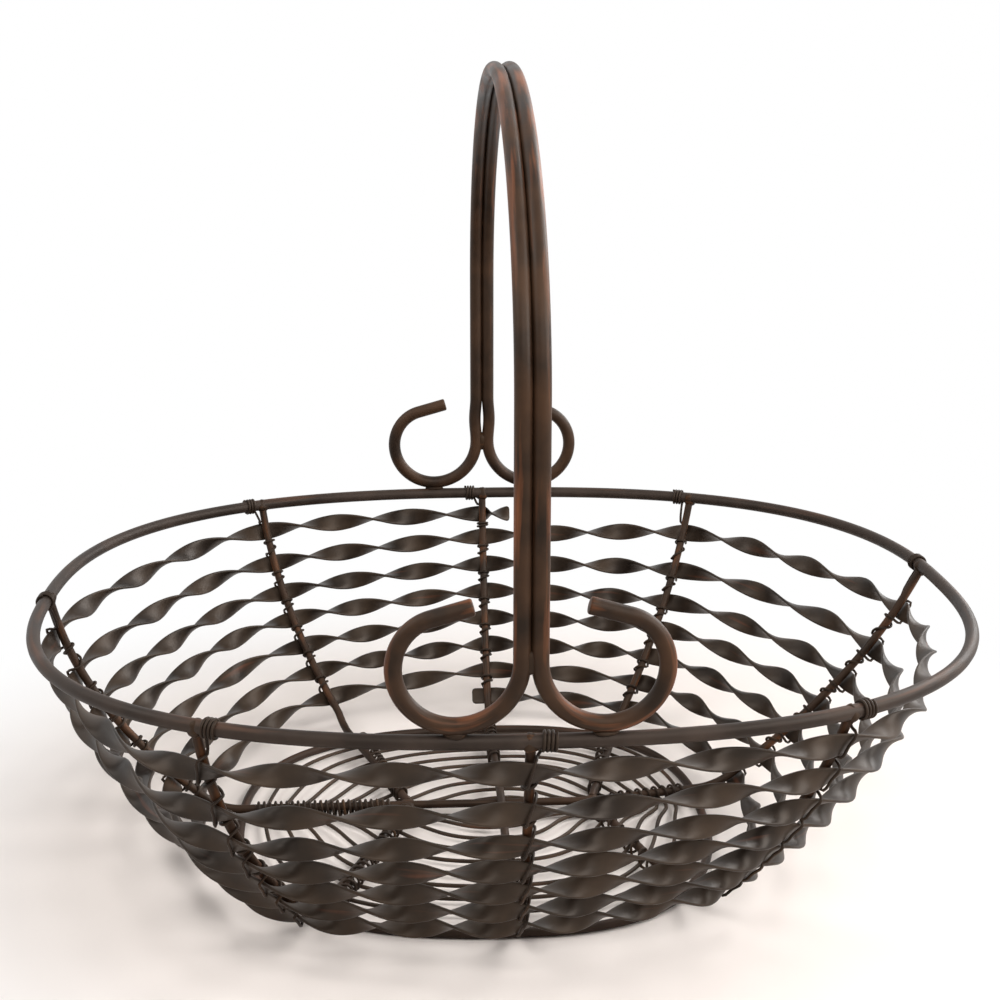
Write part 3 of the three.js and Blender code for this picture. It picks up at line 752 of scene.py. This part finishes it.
# %% Twisted strip
STRIP_PATCHES = (610, 173, 97, 43)
STRIP_PATCH_RUB = 0.45
# Strip: rolled bar with a smooth skin, so a deeper brown with clearer highlights and a reddish rub
STRIP_IRON = patinated_iron("bronze_brown_strip_iron", "#1b140f", "#392d23", "#633b2a", 0.42, 0.32)
strip_turn = np.interp(strip_run, runs, turns)
_, down, out = wall_axes(RIB_ANGLE["back"] - TAU * strip_turn, strip_depth(strip_turn))
strip_path = strip_place(strip_turn, strip_seat) + pulled_in(strip_run)
twist = np.interp(strip_run, stops, stop_twist)[:, None]
wide = np.cos(twist) * down + np.sin(twist) * out
thick = np.cos(twist) * out - np.sin(twist) * down
# The ends narrow by a quarter circle, which rounds their corners
from_end = np.minimum(np.minimum(strip_run, strip_length - strip_run), END_CORNER)
corner_cut = END_CORNER - np.sqrt(END_CORNER**2 - (END_CORNER - from_end) ** 2)
taper = 1 - corner_cut / (STRIP_WIDTH / 2)
across = taper[:, None] * section[:, 0]
strip_grid = strip_path[:, None] + across[..., None] * wide[:, None] + section[:, 1, None] * thick[:, None]
middle_of_face = 1 - (np.abs(section[:, 0]) / (STRIP_WIDTH / 2)) ** 2
strip_wear = STRIP_PATCH_RUB * wavy(strip_run, STRIP_PATCHES)[:, None] * middle_of_face
strip_course = np.stack(np.broadcast_arrays(strip_run[:, None], section[:, 0], section[:, 1]), axis=-1)
# The section is taken the other way round, so that the faces point outwards
strip_piece = surface_object(
    "twisted_strip_bar", strip_grid[None, :, ::-1], strip_wear[None, :, ::-1], strip_course[None, :, ::-1],
)
place(strip_piece, STRIP_IRON, "strip_iron", "twisted_strip")
print("strip quads:", len(strip_piece.data.polygons))

# %% [markdown]
# ## Lashings
# On each rib a thin wire is wrapped round the rim and then taken down the rib: over the outside of a row of
# the strip, round the rib, over the next row. A wire could be simulated and pulled tight, but its route is
# known, so a few points per row, joined by a smooth curve, follow it.
# Each point also carries its direction away from the rib as the hint for the ring that stands there.

# %% Wraps on the rim
LASHING_WIRE = 1.25 * MM
LASHING_SLACK = 0.1 * MM
RIM_WRAPS = 3.5
RIM_WRAP_PITCH = 1.45 * MM
WRAP_STEPS = 10
lashing_reach = RIB_WIRE / 2 + LASHING_WIRE / 2 + LASHING_SLACK


def rim_wraps(angle):
    """Helix of wire round the rim, ending beside the rib's top, and its directions away from the rim."""
    t = np.linspace(0, 1, int(RIM_WRAPS * WRAP_STEPS) + 1)
    beside = RIM_WRAPS * RIM_WRAP_PITCH * (1 - t) + lashing_reach + RIM_WRAP_PITCH
    there = angle + beside / np.linalg.norm(rim_plan(angle))
    _, down, out = wall_axes(there, 0.0)
    turn = (TAU * RIM_WRAPS * (t - 1) + math.pi / 2)[:, None]
    away = np.cos(turn) * out + np.sin(turn) * down
    return wall(there, 0.0) + (RIM_WIRE / 2 + LASHING_WIRE / 2) * away, away


print(f"wraps on the rim are {RIM_WRAPS * RIM_WRAP_PITCH / MM:.1f} mm wide beside each rib")

# %% Ties down a rib
TIE_LIFT = 0.5 * MM
RIB_HALF_TURNS = 3
TURN_CROWDING = 2.2
# Bridge over a row: place down the strip, place across the rib and lift off it, in shares of their reach
BRIDGE = np.array([[-1, -1.0, 0.0], [-1, -0.5, 1.0], [0, 0.0, 1.0], [1, 0.5, 1.0], [1, 1.0, 0.0]])
lashing_margin = LASHING_WIRE / 2 + LASHING_SLACK
outer_face = strip_seat + STRIP_THICKNESS / 2 + TIE_LIFT + lashing_margin


def rib_points(angle, depth, sideways, outwards):
    """Points beside a rib at the depths, and their directions away from it."""
    along, _, out = wall_axes(angle, depth)
    away = along * sideways[..., None] + out * outwards[..., None]
    return wall(angle, depth) + away, unit(away)


def row_ties(angle, depths):
    """Route over the strip at each row and round the rib between rows: a bridge, then a crowded helix."""
    steepness = np.abs(wall_axes(angle, depths)[1][:, 2])[:, None]
    beyond = (STRIP_WIDTH / 2 + lashing_margin) * steepness
    over_depth = depths[:, None] + beyond * BRIDGE[:, 0]
    over_side = np.broadcast_to(lashing_reach * BRIDGE[:, 1], over_depth.shape)
    over_out = np.broadcast_to(outer_face * BRIDGE[:, 2], over_depth.shape)
    turn = np.linspace(0, RIB_HALF_TURNS * math.pi, RIB_HALF_TURNS * WRAP_STEPS // 2 + 1)[1:-1]
    share = (turn / turn[-1]) ** TURN_CROWDING
    low, high = depths[:-1, None] + beyond[:-1], depths[1:, None] - beyond[1:]
    round_depth = np.concatenate([low + (high - low) * share, np.zeros((1, len(turn)))])
    round_side = np.broadcast_to(lashing_reach * np.cos(turn), round_depth.shape)
    round_out = np.broadcast_to(-lashing_reach * np.sin(turn), round_depth.shape)
    depth, sideways, outwards = (
        np.concatenate(pair, axis=1).ravel()[: -len(turn)]
        for pair in ((over_depth, round_depth), (over_side, round_side), (over_out, round_out))
    )
    return rib_points(angle, depth, sideways, outwards)


print(f"ties go over a row {outer_face / MM:.1f} mm out of the wall")

# %% Lashings
LASHING_SIDES = 8
LASHING_CURVE_STEPS = 3
LASHING_PATCHES = (131, 57)
LASHING_RUB, LASHING_PATCH_RUB = 0.1, 0.35
# Tying wire: soft annealed wire, bent after lacquering, so brown where the coat cracked
LASHING_IRON = patinated_iron("coppery_tying_wire", "#201813", "#342921", "#573e2a", 0.46, 0.2)


def smooth_through(points, steps):
    """Curve through the points with steps between two: the cubic whose slopes follow the neighbours."""
    before, after = 2 * points[:1] - points[1:2], 2 * points[-1:] - points[-2:-1]
    padded = np.concatenate([before, points, after])
    a, b, c, d = padded[:-3, None], padded[1:-2, None], padded[2:-1, None], padded[3:, None]
    t = np.linspace(0, 1, steps, endpoint=False)[None, :, None]
    curve = b + t / 2 * (c - a + t * (2 * a - 5 * b + 4 * c - d + t * (3 * b - a - 3 * c + d)))
    return np.concatenate([curve.reshape(-1, points.shape[1]), points[-1:]])


for rib, angle in RIB_ANGLE.items():
    rib_turns = (RIB_ANGLE["back"] - angle) / TAU % 1 + np.arange(STRIP_TURNS + 1)
    depths = strip_depth(rib_turns[rib_turns < last_turn][::-1])
    wraps, wraps_away = rim_wraps(angle)
    ties, ties_away = row_ties(angle, depths)
    path = smooth_through(np.concatenate([wraps, ties]), LASHING_CURVE_STEPS)
    hint = smooth_through(np.concatenate([wraps_away, ties_away]), LASHING_CURVE_STEPS)
    below_rim = path[:, 2] < RIM_HEIGHT - RIM_WIRE
    patches = wavy(path_length(path), LASHING_PATCHES)
    wear = below_rim * (LASHING_RUB + LASHING_PATCH_RUB * patches)
    tie = wire_object("tying_wire_" + rib, path, LASHING_WIRE / 2, LASHING_SIDES, hint, wear)
    place(tie, LASHING_IRON, "lashing_wire", "lashing_" + rib)
print("lashings:", len(RIB_ANGLE))

# %% [markdown]
# ## Bindings under the spokes
# The coil is bound to every spoke with the same thin wire, wound round spoke and coil together, closely at
# the left and sparsely elsewhere. An Array modifier would repeat single loops, but this is one running wire.
# Its turns are tall and narrow, because the coil hangs under the spoke, so a stretched oval is carried along
# the spoke. These are fine trim, so they are made here only.

# %% Spoke bindings
BINDING_TURNS = {"left": 24, "back_left": 20, "front_left": 20}
SPARSE_TURNS = 9
BINDING_STEPS = 16
BINDING_END = 7 * MM
BINDING_GAP = 0.05 * MM
BINDING_SIDE_GAP = 0.12 * MM
BINDING_PATCHES = (71, 29)
BINDING_RUB, BINDING_PATCH_RUB = 0.15, 0.3
binding_top = SPOKE_HEIGHT + RIB_WIRE / 2 + LASHING_WIRE / 2 + BINDING_GAP
binding_low = COIL_HEIGHT - COIL_WIRE / 2 - LASHING_WIRE / 2 - BINDING_GAP
binding_half_width = RIB_WIRE / 2 + LASHING_WIRE / 2 + BINDING_SIDE_GAP


def binding_run(start, hub, turns):
    """Stretched helix along a spoke: a squarish oval across it, with its turns spread evenly along it."""
    forward = unit(hub - start)
    side = np.cross(UP, forward)
    t = np.linspace(0, 1, turns * BINDING_STEPS + 1)[:, None]
    length = np.linalg.norm(hub - start)
    middle = start + forward * (BINDING_END + (length - 2 * BINDING_END) * t)
    middle[:, 2] = (binding_top + binding_low) / 2
    turn = TAU * turns * t
    tall = (binding_top - binding_low) / 2
    sideways, upwards = np.cos(turn), np.sin(turn)
    reach = (np.abs(sideways) ** SQUARENESS + np.abs(upwards) ** SQUARENESS) ** (-1 / SQUARENESS)
    away = side * sideways * binding_half_width * reach + UP * upwards * tall * reach
    return middle + away, unit(away)


for rib, angle in RIB_ANGLE.items():
    start = level(foot_plan(angle, 0.0), SPOKE_HEIGHT)
    path, hint = binding_run(start, HUB[rib], BINDING_TURNS.get(rib, SPARSE_TURNS))
    wear = BINDING_RUB + BINDING_PATCH_RUB * wavy(path_length(path), BINDING_PATCHES)
    binding = wire_object("spoke_binding_" + rib, path, LASHING_WIRE / 2, LASHING_SIDES, hint, wear)
    place(binding, LASHING_IRON, "lashing_wire")
print("spoke bindings:", len(RIB_ANGLE))

# %% [markdown]
# ## Path of the handle
# Two round wires lie side by side over the arch. Near the rim they part, and each opens outwards into a
# scroll that stands on the rim and curls up and back, ending in a short straight stretch with a sawn end.
# Scrolls, legs and arch could be separate pieces joined up, but each real wire was bent from one length, so
# it is one path: scroll, leg, half-ellipse arch, leg, scroll. At the back a narrow slit is left over the
# fork.

# %% Handle scroll
HANDLE_WIRE = 6.35 * MM
WIRES_PRESSED = 0.05 * MM
SCROLL_RADIUS = 23 * MM
SCROLL_SWEEP = math.radians(244)
SCROLL_TIGHTENING = 5 * MM
SCROLL_END = 14 * MM
SCROLL_STEPS, SCROLL_END_STEPS = 90, 13
leg_x = HANDLE_WIRE / 2 - WIRES_PRESSED
scroll_height = RIM_HEIGHT + RIM_WIRE / 2 + CLEARANCE + HANDLE_WIRE / 2 + SCROLL_RADIUS


def scroll_run(side, y):
    """Scroll from the leg down to the rim and round: a circle tightening by a square, and a straight end."""
    turned = np.linspace(0, SCROLL_SWEEP, SCROLL_STEPS)
    past = np.maximum(0, turned - math.pi / 2) / (SCROLL_SWEEP - math.pi / 2)
    radius = SCROLL_RADIUS - SCROLL_TIGHTENING * past**2
    x = side * (leg_x + SCROLL_RADIUS - radius * np.cos(turned))
    curl = np.stack([x, np.full_like(x, y), scroll_height - radius * np.sin(turned)], axis=-1)
    onward = unit(curl[-1] - curl[-2]) * SCROLL_END
    return np.concatenate([curl, curl[-1] + onward * np.linspace(0, 1, SCROLL_END_STEPS)[1:, None]])


print(f"scrolls start {scroll_height / MM:.1f} mm above the ground")

# %% Handle path
HANDLE_LEG = 117 * MM
HANDLE_RISE = 109 * MM
SLIT_HEIGHT = 24 * MM
SLIT_HALF_WIDTH = 0.7 * MM
LEG_STEPS, ARCH_STEPS = 60, 160


def leg_run(x, y, z):
    """Upright leg at the heights z, with one or many x and one y."""
    return np.stack([np.broadcast_to(x, z.shape), np.full_like(z, y), z], axis=-1)


def handle_run(side):
    """Whole handle wire, tip to tip from the back: the arch is a half ellipse, the slit a sine squared."""
    angle = np.linspace(0, math.pi, ARCH_STEPS)
    arch_z = RIM_HEIGHT + HANDLE_LEG + HANDLE_RISE * np.sin(angle)
    arch = np.stack([np.full_like(angle, side * leg_x), RIM_TO_BACK * np.cos(angle), arch_z], axis=-1)
    leg_z = np.linspace(scroll_height, RIM_HEIGHT + HANDLE_LEG, LEG_STEPS)[1:-1]
    slit = np.clip((leg_z - scroll_height) / SLIT_HEIGHT, 0, 1)
    back_x = side * (leg_x + SLIT_HALF_WIDTH * np.sin(math.pi * slit) ** 2)
    back_leg = leg_run(back_x, RIM_TO_BACK, leg_z)
    front_leg = leg_run(side * leg_x, -RIM_TO_FRONT, leg_z)
    back, front = scroll_run(side, RIM_TO_BACK), scroll_run(side, -RIM_TO_FRONT)
    return np.concatenate([back[::-1], back_leg, arch, front_leg[::-1], front])


def out_of_arch(path):
    """Direction out of the arch: to the back at the back, up at the top and to the front at the front."""
    through = np.clip(path[:, 1] / RIM_TO_BACK, -1, 1)
    return np.stack([np.zeros_like(through), through, np.sqrt(1 - through**2)], axis=-1)


print(f"handle wire: {path_length(handle_run(1))[-1]:.2f} m each")

# %% [markdown]
# ## Handle wires and their wear
# Hands and the ground rub a handle unevenly: most on the outer sides, some on the grip at the top, and on the
# sawn tips.
# The rub is also made stronger towards the front and weaker at the back. This could be painted by hand on the
# points.
# A sum of a few shares, each worked out from the shape, is easier to read and to change.

# %% Handle wires
HANDLE_SIDES = 28
HANDLE_END_CORNER = 0.8 * MM
HANDLE_PATCHES = (230, 97, 41)
HANDLE_RUB, GRIP_RUB, TIP_RUB = 0.12, 0.1, 0.12
SIDE_RUB, SIDE_PATCH_RUB, PATCH_RUB = 0.08, 0.2, 0.24
MEAN_SHARE, FRONT_SHARE = 0.7, 0.3
TIP_LENGTH = 12 * MM
# Handle: iron rod, bent hot, lacquered and rubbed by hands, so warm brown with orange-brown streaks
HANDLE_IRON = patinated_iron("rubbed_patinated_handle_iron", "#1e140d", "#3f2b1d", "#7d4b30", 0.45, 0.23)


def handle_wear(path, rings, side):
    """Rub on the outer side and in patches, stronger to the front, plus rub on the grip and the two tips."""
    outward = np.clip(side * (rings[..., 0] - path[:, None, 0]) / (HANDLE_WIRE / 2), 0, 1)
    run = path_length(path)
    patches = wavy(run, HANDLE_PATCHES)[:, None]
    tip = np.exp(-run / TIP_LENGTH) + np.exp((run - run[-1]) / TIP_LENGTH)
    grip = np.clip((path[:, 2] - RIM_HEIGHT - HANDLE_LEG) / HANDLE_RISE, 0, 1)
    front_weight = MEAN_SHARE - FRONT_SHARE * path[:, 1, None] / RIM_TO_BACK
    side_rub = (SIDE_RUB + SIDE_PATCH_RUB * patches) * np.sqrt(outward) + PATCH_RUB * patches
    return HANDLE_RUB + front_weight * side_rub + (GRIP_RUB * grip + TIP_RUB * tip)[:, None]


for side, name in ((1, "right"), (-1, "left")):
    path, radii = cut_ends(handle_run(side), HANDLE_WIRE / 2, HANDLE_END_CORNER)
    hint = out_of_arch(path)
    wear = handle_wear(path, wire_rings(path, radii, HANDLE_SIDES, hint), side)
    rod = wire_object(f"handle_rod_{name}", path, radii, HANDLE_SIDES, hint, wear)
    place(rod, HANDLE_IRON, "handle_iron", f"handle_wire_{name}")
    print(f"{name} handle wire: wear from {wear.min():.2f} to {wear.max():.2f}")

# %% [markdown]
# ## Welds
# The wires are brazed where they meet: at the fork of the handle, under the scrolls, in knobs where the ribs
# meet the rim, where the spokes cross the foot ring, and at the hubs. Metaballs or sculpting could melt beads
# onto the wires, but they are small, so each is a lumpy ellipsoid that sinks into its wires.
# All beads of a place are worked out at once, as one array of shells.

# %% Bead shape
BEAD_RINGS = 14
BEAD_SIDES = 20
BEAD_POLE = 0.06
BEAD_WEAR = 0.3
LUMPS_ROUND, LUMPS_ALONG = 3, 4
LUMP_ROUND, LUMP_ALONG = 0.09, 0.07
LUMP_SHIFT = 2.4


def bead_object(name, middles, sizes):
    """Lumpy ellipsoids: spheres swollen by a few waves, scaled to half sizes and set at the middles."""
    middles, sizes = np.array(middles), np.array(sizes) * MM
    tilt = np.linspace(BEAD_POLE, math.pi - BEAD_POLE, BEAD_RINGS)[None, :, None]
    turn = (TAU * np.arange(BEAD_SIDES) / BEAD_SIDES)[None, None, :]
    phase = (LUMP_SHIFT * np.arange(len(middles)))[:, None, None]
    round_lumps = LUMP_ROUND * np.sin(LUMPS_ROUND * turn + phase) * np.sin(tilt)
    swell = 1 + round_lumps + LUMP_ALONG * np.sin(LUMPS_ALONG * tilt + 2 * phase)
    ball = np.stack([
        swell * np.sin(tilt) * np.cos(turn),
        swell * np.sin(tilt) * np.sin(turn),
        -swell * np.cos(tilt) * np.ones_like(turn),
    ], axis=-1)
    grids = middles[:, None, None] + sizes[:, None, None] * ball
    return surface_object(name, grids, BEAD_WEAR, grids)


print("points on a bead:", BEAD_RINGS * BEAD_SIDES)

# %% Weld beads
# Half sizes of the beads across, through and up, in millimetres
FORK_BEAD = (3.0, 2.6, 4.8)
SCROLL_BEAD = (4.6, 2.5, 1.5)
RIM_KNOB = (3.2, 3.2, 3.6)
FOOT_BEAD = (2.8, 2.8, 1.3)
HUB_BEAD = (3.6, 2.2, 1.7)
KNOB_DEPTH = 0.7 * MM
# Takes the hub of a diagonal rib halfway to the long rib
HALFWAY = np.array([1, 0.5, 1])
# Welds: brazing metal under the same lacquer, so brown and a little duller than the wire
WELD_IRON = patinated_iron("brown_brazed_weld", "#1f1610", "#36271b", "#6a4227", 0.5, 0.2)
handle_ends = (RIM_TO_BACK, -RIM_TO_FRONT)
rim_top = RIM_HEIGHT + RIM_WIRE / 2 + CLEARANCE / 2
scroll_x = leg_x + SCROLL_RADIUS
forks = [[0, y, scroll_height] for y in handle_ends]
scroll_feet = [[x, y, rim_top] for x in (scroll_x, -scroll_x) for y in handle_ends]
rib_tops = [wall(angle, KNOB_DEPTH) for angle in RIB_ANGLE.values()]
spoke_feet = [level(foot_plan(angle, 0.0), FOOT_WIRE) for angle in RIB_ANGLE.values()]
hubs = [HUB[rib] * HALFWAY for rib in DIAGONAL_RIBS]
handle_sizes = [FORK_BEAD] * len(forks) + [SCROLL_BEAD] * len(scroll_feet)
floor_sizes = [FOOT_BEAD] * len(spoke_feet) + [HUB_BEAD] * len(hubs)
handle_welds = bead_object("handle_welds", forks + scroll_feet, handle_sizes)
place(handle_welds, WELD_IRON, "handle_iron")
rim_welds = bead_object("rim_welds", rib_tops, [RIM_KNOB] * len(rib_tops))
place(rim_welds, WELD_IRON, "rib_iron")
floor_welds = bead_object("floor_welds", spoke_feet + hubs, floor_sizes)
place(floor_welds, WELD_IRON, "foot_iron")
print("weld beads:", len(handle_sizes) + len(rib_tops) + len(floor_sizes))

# %% [markdown]
# ## Floor
# The basket stands on pale paper that goes over into white. A curved backdrop would do that in a studio. Here
# a flat round slab is enough: near the basket it takes the soft shadow, and further out it fades to plain
# white for whatever looks at it directly, so no horizon shows.

# %% Floor slab
FLOOR_RADIUS = 4.0
FLOOR_THICKNESS = 10 * MM
FLOOR_HOLE = 1 * MM
FLOOR_RINGS = 12
FLOOR_SIDES = 64


def floor_disc():
    """Thin round slab with its top at ground level: rings out along the top and back along the underside."""
    reach = np.linspace(FLOOR_HOLE, FLOOR_RADIUS, FLOOR_RINGS)
    reach = np.concatenate([reach, reach[::-1]])[:, None]
    height = np.repeat([0.0, -FLOOR_THICKNESS], FLOOR_RINGS)[:, None]
    turn = TAU * np.arange(FLOOR_SIDES) / FLOOR_SIDES
    heights = np.repeat(height, FLOOR_SIDES, axis=1)
    grid = np.stack([reach * np.cos(turn), reach * np.sin(turn), heights], axis=-1)
    return surface_object("pale_floor", grid[None, :, ::-1], 0.0, 0.0)


floor = floor_disc()
print("floor faces:", len(floor.data.polygons))

# %% What is seen directly


def seen_directly(tree):
    """1 for camera, glossy and transmission rays, which see a thing itself, and 0 for its light elsewhere."""
    rays = add(tree, "ShaderNodeLightPath", {}).outputs
    seen = add(
        tree, "ShaderNodeMath",
        {0: rays["Is Camera Ray"], 1: rays["Is Glossy Ray"]}, operation="MAXIMUM",
    )
    shown = add(
        tree, "ShaderNodeMath",
        {0: seen.outputs["Value"], 1: rays["Is Transmission Ray"]}, operation="MAXIMUM",
    )
    return shown.outputs["Value"]


print("white shows to camera, glossy and transmission rays")

# %% Paper
# Uncoated paper: fibres scatter the light, so it is matt, pale and a little warm, with hardly any gleam
PAPER = "#f3e9e2"
PAPER_ROUGHNESS = 0.9
PAPER_GLEAM = 0.1
WHITE = "#ffffff"
FADE_START = 0.17
FADE_END = 0.36


def paper_sweep():
    """Paper that turns to plain white away from the basket: mixed by a smooth step of the distance."""
    material = bpy.data.materials.new("matt_pale_paper")
    material.use_nodes = True
    tree = material.node_tree
    paper = tree.nodes["Principled BSDF"]
    paper.inputs["Base Color"].default_value = linear(PAPER)
    paper.inputs["Roughness"].default_value = PAPER_ROUGHNESS
    paper.inputs["Specular IOR Level"].default_value = PAPER_GLEAM
    spot = add(tree, "ShaderNodeTexCoord", {}).outputs["Object"]
    reach = add(tree, "ShaderNodeVectorMath", {0: spot}, operation="LENGTH")
    fade = add(
        tree, "ShaderNodeMapRange",
        {"Value": reach.outputs["Value"], "From Min": FADE_START, "From Max": FADE_END},
        interpolation_type="SMOOTHSTEP",
    )
    bare = add(
        tree, "ShaderNodeMath",
        {0: fade.outputs["Result"], 1: seen_directly(tree)}, operation="MULTIPLY",
    )
    white = add(tree, "ShaderNodeEmission", {"Color": linear(WHITE), "Strength": 1.0})
    mixed = add(
        tree, "ShaderNodeMixShader",
        {0: bare.outputs["Value"], 1: paper.outputs["BSDF"], 2: white.outputs["Emission"]},
    )
    tree.links.new(mixed.outputs["Shader"], tree.nodes["Material Output"].inputs["Surface"])
    return material


floor.data.materials.append(paper_sweep())
print(f"paper fades to white from {FADE_START} m to {FADE_END} m")

# %% [markdown]
# ## Light
# The photograph has soft light, stronger from the right. One big lamp would leave the left side of the wires
# too dark, so four broad lamps share the work: two at the right, and weaker ones in front and at the left.
# The world adds only a weak white light, and looks plain white where the camera or a reflection meets it.

# %% White world
AMBIENT = 0.06


def white_world():
    """Even white light at the ambient strength, and plain white to whatever sees it directly."""
    world = bpy.data.worlds.new("white_studio")
    world.use_nodes = True
    tree = world.node_tree
    light = tree.nodes["Background"]
    light.inputs["Color"].default_value = linear(WHITE)
    strength = add(
        tree, "ShaderNodeMapRange",
        {"Value": seen_directly(tree), "To Min": AMBIENT, "To Max": 1.0},
    )
    tree.links.new(strength.outputs["Result"], light.inputs["Strength"])
    return world


bpy.context.scene.world = white_world()
bpy.context.scene.view_settings.view_transform = "Standard"
print("world light as a share of white:", AMBIENT)

# %% Lamps
LAMP_SIZE = 0.9
LAMP_TARGET = Vector((0, 0, 0.1))
# Place in metres and power in watts
LAMPS = {
    "key_lamp": ((1.1, -0.45, 0.8), 18),
    "back_lamp": ((1.1, 0.8, 0.8), 16),
    "front_lamp": ((0.15, -1.1, 1.1), 9),
    "left_lamp": ((-0.95, -0.2, 1.1), 9),
}


def soft_lamp(name, at, power):
    """Square area lamp aimed at the middle of the basket."""
    lamp = bpy.data.lights.new(name, "AREA")
    lamp.size = LAMP_SIZE
    lamp.energy = power
    holder = bpy.data.objects.new(name, lamp)
    holder.location = at
    holder.rotation_euler = (LAMP_TARGET - Vector(at)).to_track_quat("-Z", "Y").to_euler()
    bpy.context.scene.collection.objects.link(holder)


for name, (at, power) in LAMPS.items():
    soft_lamp(name, at, power)
print("lamps:", len(bpy.data.lights))

# %% [markdown]
# ## Camera
# The camera stands where the photograph was taken from: in front, a little to the left, and above the rim.
# It could be placed by eye, but its place and aim were found by matching the rim's oval and the handle's
# arch, so that each wire falls where the photograph has it.

# %% Camera
CAMERA_PLACE = (-0.04317, -0.71908, 0.33882)
CAMERA_YAW = -0.0593
CAMERA_PITCH = 0.2547
CAMERA_ROLL = 0.0016
CAMERA_LENS = 60.6
CAMERA_SENSOR = 36
camera_data = bpy.data.cameras.new("photo_camera")
camera_data.lens = CAMERA_LENS
camera_data.sensor_width = CAMERA_SENSOR
camera_data.dof.use_dof = False
camera = bpy.data.objects.new("photo_camera", camera_data)
aim = Matrix.Rotation(CAMERA_YAW, 4, "Z") @ Matrix.Rotation(math.pi / 2 - CAMERA_PITCH, 4, "X")
camera.matrix_world = Matrix.Translation(CAMERA_PLACE) @ aim @ Matrix.Rotation(CAMERA_ROLL, 4, "Z")
bpy.context.scene.collection.objects.link(camera)
bpy.context.scene.camera = camera
print(f"camera {-CAMERA_PLACE[1]:.2f} m in front and {CAMERA_PLACE[2]:.2f} m up, lens {CAMERA_LENS} mm")
